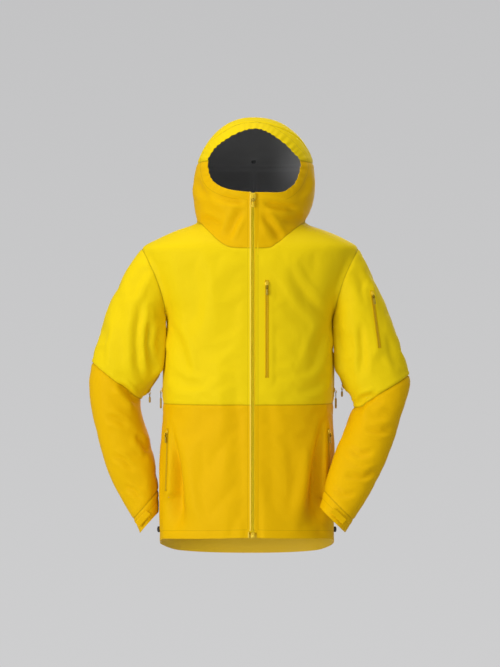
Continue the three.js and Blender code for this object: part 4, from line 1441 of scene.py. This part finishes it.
def rounded(low, high, soft):
    """Levels for `stacked` from low to high with edges rounded over by `soft`."""
    turn = (0, 0.29, 0.62, 1)
    inset = [1 - math.sin(math.acos(1 - t)) for t in turn]
    rise = [(low + t * soft, i * soft) for t, i in zip(turn, inset)]
    return rise + [(high - t * soft, i * soft) for t, i in list(zip(turn, inset))[::-1]]


def tube(path, radius, across_path, ring=8):
    """Points and faces of a round cord along a flat path, open at its ends but for their caps."""
    path, across_path = np.asarray(path, float), np.asarray(across_path, float)
    along = np.gradient(path, axis=0)
    along /= np.linalg.norm(along, axis=1, keepdims=True)
    second = np.cross(along, across_path)
    turn = np.linspace(0, 2 * math.pi, ring, endpoint=False)
    rings = path[:, None] + radius * (np.cos(turn)[None, :, None] * across_path + np.sin(turn)[None, :, None]
                                      * second[:, None])
    faces = grid_faces(len(path), ring)
    faces += [list(range(ring))[::-1], list(range((len(path) - 1) * ring, len(path) * ring))]
    return rings.reshape(-1, 3), faces


def assembled(name, parts, materials):
    """One object from several bodies, each with its own material."""
    points, faces, numbers = [], [], []
    for body, material in parts:
        start = sum(map(len, points))
        points.append(body[0])
        faces += [[v + start for v in f] for f in body[1]]
        numbers += [materials.index(material)] * len(body[1])
    thing = add_object(name, np.concatenate(points), faces, materials, numbers)
    tidy_normals(thing)
    return thing


def make_slider(name, frame_of, foot, face, thick, size, lift, hinge):
    """A slider's plate with its rails, and the bridge that the pull's loop runs under."""
    origin, _, wide, out, along = frame_of
    at = (origin + along * foot, 0, wide, out, along)
    half = np.array([(1.7, 0.2), (3.4, 2.8), (4.0, 5.5), (3.9, 8.6), (2.4, 10.8)]) * size
    outline = np.concatenate([half, half[::-1] * (-1, 1)])
    top = face + thick
    parts = [(stacked(outline, rounded(face, top, min(1.0, thick * 0.4)), at, (0, 5.5 * size)), "metal")]
    for side in (-1, 1):
        rail = [origin + wide * side * x * size + along * (foot + z * size) + out * (face + 0.35 * thick)
                for x, z in ((2.0, 0.8), (3.3, 3.0), (3.75, 5.5), (3.65, 8.2))]
        parts.append((tube(spline(rail, np.linspace(0, 3, 12)), 0.42 * size, out), "metal"))
    room = lift + 1.6
    arch = [(hinge - 2.6, top - 0.5), (hinge - 2.7, top + room * 0.55), (hinge - 1.2, top + room),
            (hinge + 1.6, top + room), (hinge + 3.4 * size, top + room * 0.5),
            (hinge + 4.4 * size, top - 0.4)]
    bridge = spline([origin + along * (foot + z) + out * y for z, y in arch], np.linspace(0, 5, 26))
    parts.append((tube(bridge, 0.62, wide), "metal"))
    slider = assembled("slider_" + name, parts, ["metal"])
    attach(slider, name + "_slider")
    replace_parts(slider, name + "_slider")


def make_pull(name, pivot, wide, out, along, long, size, thick, moulding="pull"):
    """A pull: a loop of cord through the slider's bridge, and the moulded end that it is set in."""
    hang = (pivot, 0, wide, out, along)
    loop = 0.42 * long
    side = [(0.9, -loop - 1.5), (1.1, -loop), (1.9, -0.5 * loop), (1.95, -1.2), (1.2, 0.1), (0, 0.45)]
    knots = [(-x, z) for x, z in side] + side[-2::-1]
    path = spline([pivot + wide * x * size + along * z for x, z in knots], np.linspace(0, len(knots) - 1, 44))
    half = np.array([(1.5, -loop + 1.6), (2.3, -loop - 1.5), (2.5, -0.7 * long), (3.0, -long + 3),
                     (1.9, -long + 0.3)])
    half[:, 0] *= size
    outline = np.concatenate([half, half[::-1] * (-1, 1)])
    middle = (0, (half[0, 1] + half[-1, 1]) / 2)
    end = stacked(outline, rounded(-thick / 2, thick / 2, thick * 0.4), hang, middle)
    grip = [(-1.3 * size, -long + 5.4), (1.3 * size, -long + 5.4)]
    parts = [(tube(path, 0.75, out), "cord"), (end, moulding)]
    for k in range(3):
        bar = np.array([pivot + wide * x + along * (z + 2.1 * k) + out * (thick / 2 - 0.05) for x, z in grip])
        parts.append((tube(np.linspace(bar[0], bar[1], 5), 0.38, out), moulding))
    pull = assembled("pull_" + name, parts, ["cord", moulding])
    unseamed(pull)
    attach(pull, name + "_pull")
    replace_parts(pull, name + "_pull")


# where the slider's foot is along the zip, its thickness, how far the pull stands off, and the pull's length
HARDWARE = {
    "chest_zip": (215, 3.2, 1.9, 22), "sleeve_zip": (126, 3.2, 1.9, 22),
    "pit_zip_trunk_right": (12, 1.8, 1.9, 40), "pit_zip_trunk_left": (12, 1.8, 1.9, 40),
    "pit_zip_sleeve_right": (2, 1.8, 2.6, 22), "pit_zip_sleeve_left": (2, 1.8, 2.6, 19.5),
    "hand_zip_right": (136, 2.4, 1.9, 22), "hand_zip_left": (136, 2.4, 1.9, 22),
}


def make_hardware():
    up = np.array([0.0, 0.0, 1.0])
    for name, (start, end, outward) in pocket_zips().items():
        foot, thick, lift, long = HARDWARE[name]
        frame_of = zip_frame(start, end, outward)
        origin, _, wide, out, along = frame_of
        make_slider(name, frame_of, foot, 1.8, thick, 1.0, lift, 1.0)
        pivot = origin + along * (foot + 1) + out * (1.8 + thick + lift)
        if name != "sleeve_zip":
            out, along = np.array([out[0], out[1], 0]) / math.hypot(out[0], out[1]), up
            wide = np.cross(out, along)
        make_pull(name, pivot, wide, out, along, long, 1.0, 4.8 if "pit" in name else 2.6)
    main = zip_frame((ZIP_X, -148, 0), (ZIP_X, -148, 900), (0, -1, 0))
    make_slider("main_zip", main, 836, 1.8, 4.0, 1.8, 2.1, 6.0)
    origin, _, wide, out, along = main
    make_pull("main_zip", origin + along * 842 + out * 7.9, wide, out, along, 20, 1.3, 2.8, "metal")
    corner = np.array([(3.8, 0), (4.6, 1.2), (4.6, 10.8), (3.8, 12)])
    block = np.concatenate([corner, corner[::-1] * (-1, 1)]) + (0, ZIP_FOOT)
    parts = [(stacked(block, rounded(-1.6, 3.0, 1.0), main, (0, ZIP_FOOT + 6)), "metal")]
    for z in (ZIP_FOOT + 3.2, ZIP_FOOT + 8.6):
        middle = origin + along * z + out * 2.9
        bar = np.linspace(middle - wide * 3.4, middle + wide * 3.4, 6)
        parts.append((tube(bar, 0.6, out), "metal"))
    box = assembled("box_main_zip", parts, ["metal"])
    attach(box, "root")
    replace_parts(box, "main_zip_box")


MOULDING_SUNK = 0.25


def seated(skin, middle, sunk):
    """A moulding's foot on the cloth, sunk a little into its outer face, and the cloth's direction there."""
    points, normals = skin[:2]
    near = np.argsort(((points - middle) ** 2).sum(axis=1))[:40]
    outward = normals[near].mean(axis=0)
    outward /= np.linalg.norm(outward)
    height = (middle - points[near].mean(axis=0)) @ outward
    return middle - outward * (height + sunk), outward


def make_cord_locks(skin):
    """The barrel locks in the side hems and the flat adjuster at the back of the hood, rounded mouldings."""
    ends = {"hem_cord_lock_right": ((-210.4, 0, 53), 7.6, 9, 7),
            "hem_cord_lock_left": ((185.4, 0, 53), 7.6, 9, 7),
            "hood_rear_adjuster": ((4, 146, 961), 5, 7, 13)}
    for name, (middle, deep, across_half, up_half) in ends.items():
        origin, outward = seated(skin, np.array(middle, float), MOULDING_SUNK)
        frame_of = zip_frame(origin, origin + (0, 0, 1), outward)
        turn = np.linspace(0, 2 * math.pi, 16, endpoint=False)
        round_x, round_z = signed_power(np.cos(turn), 0.6), signed_power(np.sin(turn), 0.6)
        outline = np.stack([round_x * across_half, round_z * up_half], 1)
        parts = [(stacked(outline, rounded(0, deep - 0.8, 1.6), frame_of), "moulded"),
                 (stacked(outline * 0.55, rounded(deep - 1.2, deep, 0.5), frame_of), "moulded")]
        lock = assembled("moulding_" + name, parts, ["moulded"])
        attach(lock, "hood" if "hood" in name else "root")
        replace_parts(lock, name)


make_camera()
make_stage()
make_lights()
make_materials()
skin = make_panels()
make_zips()
make_inside(skin)
make_tabs()
make_hardware()
make_cord_locks(skin)
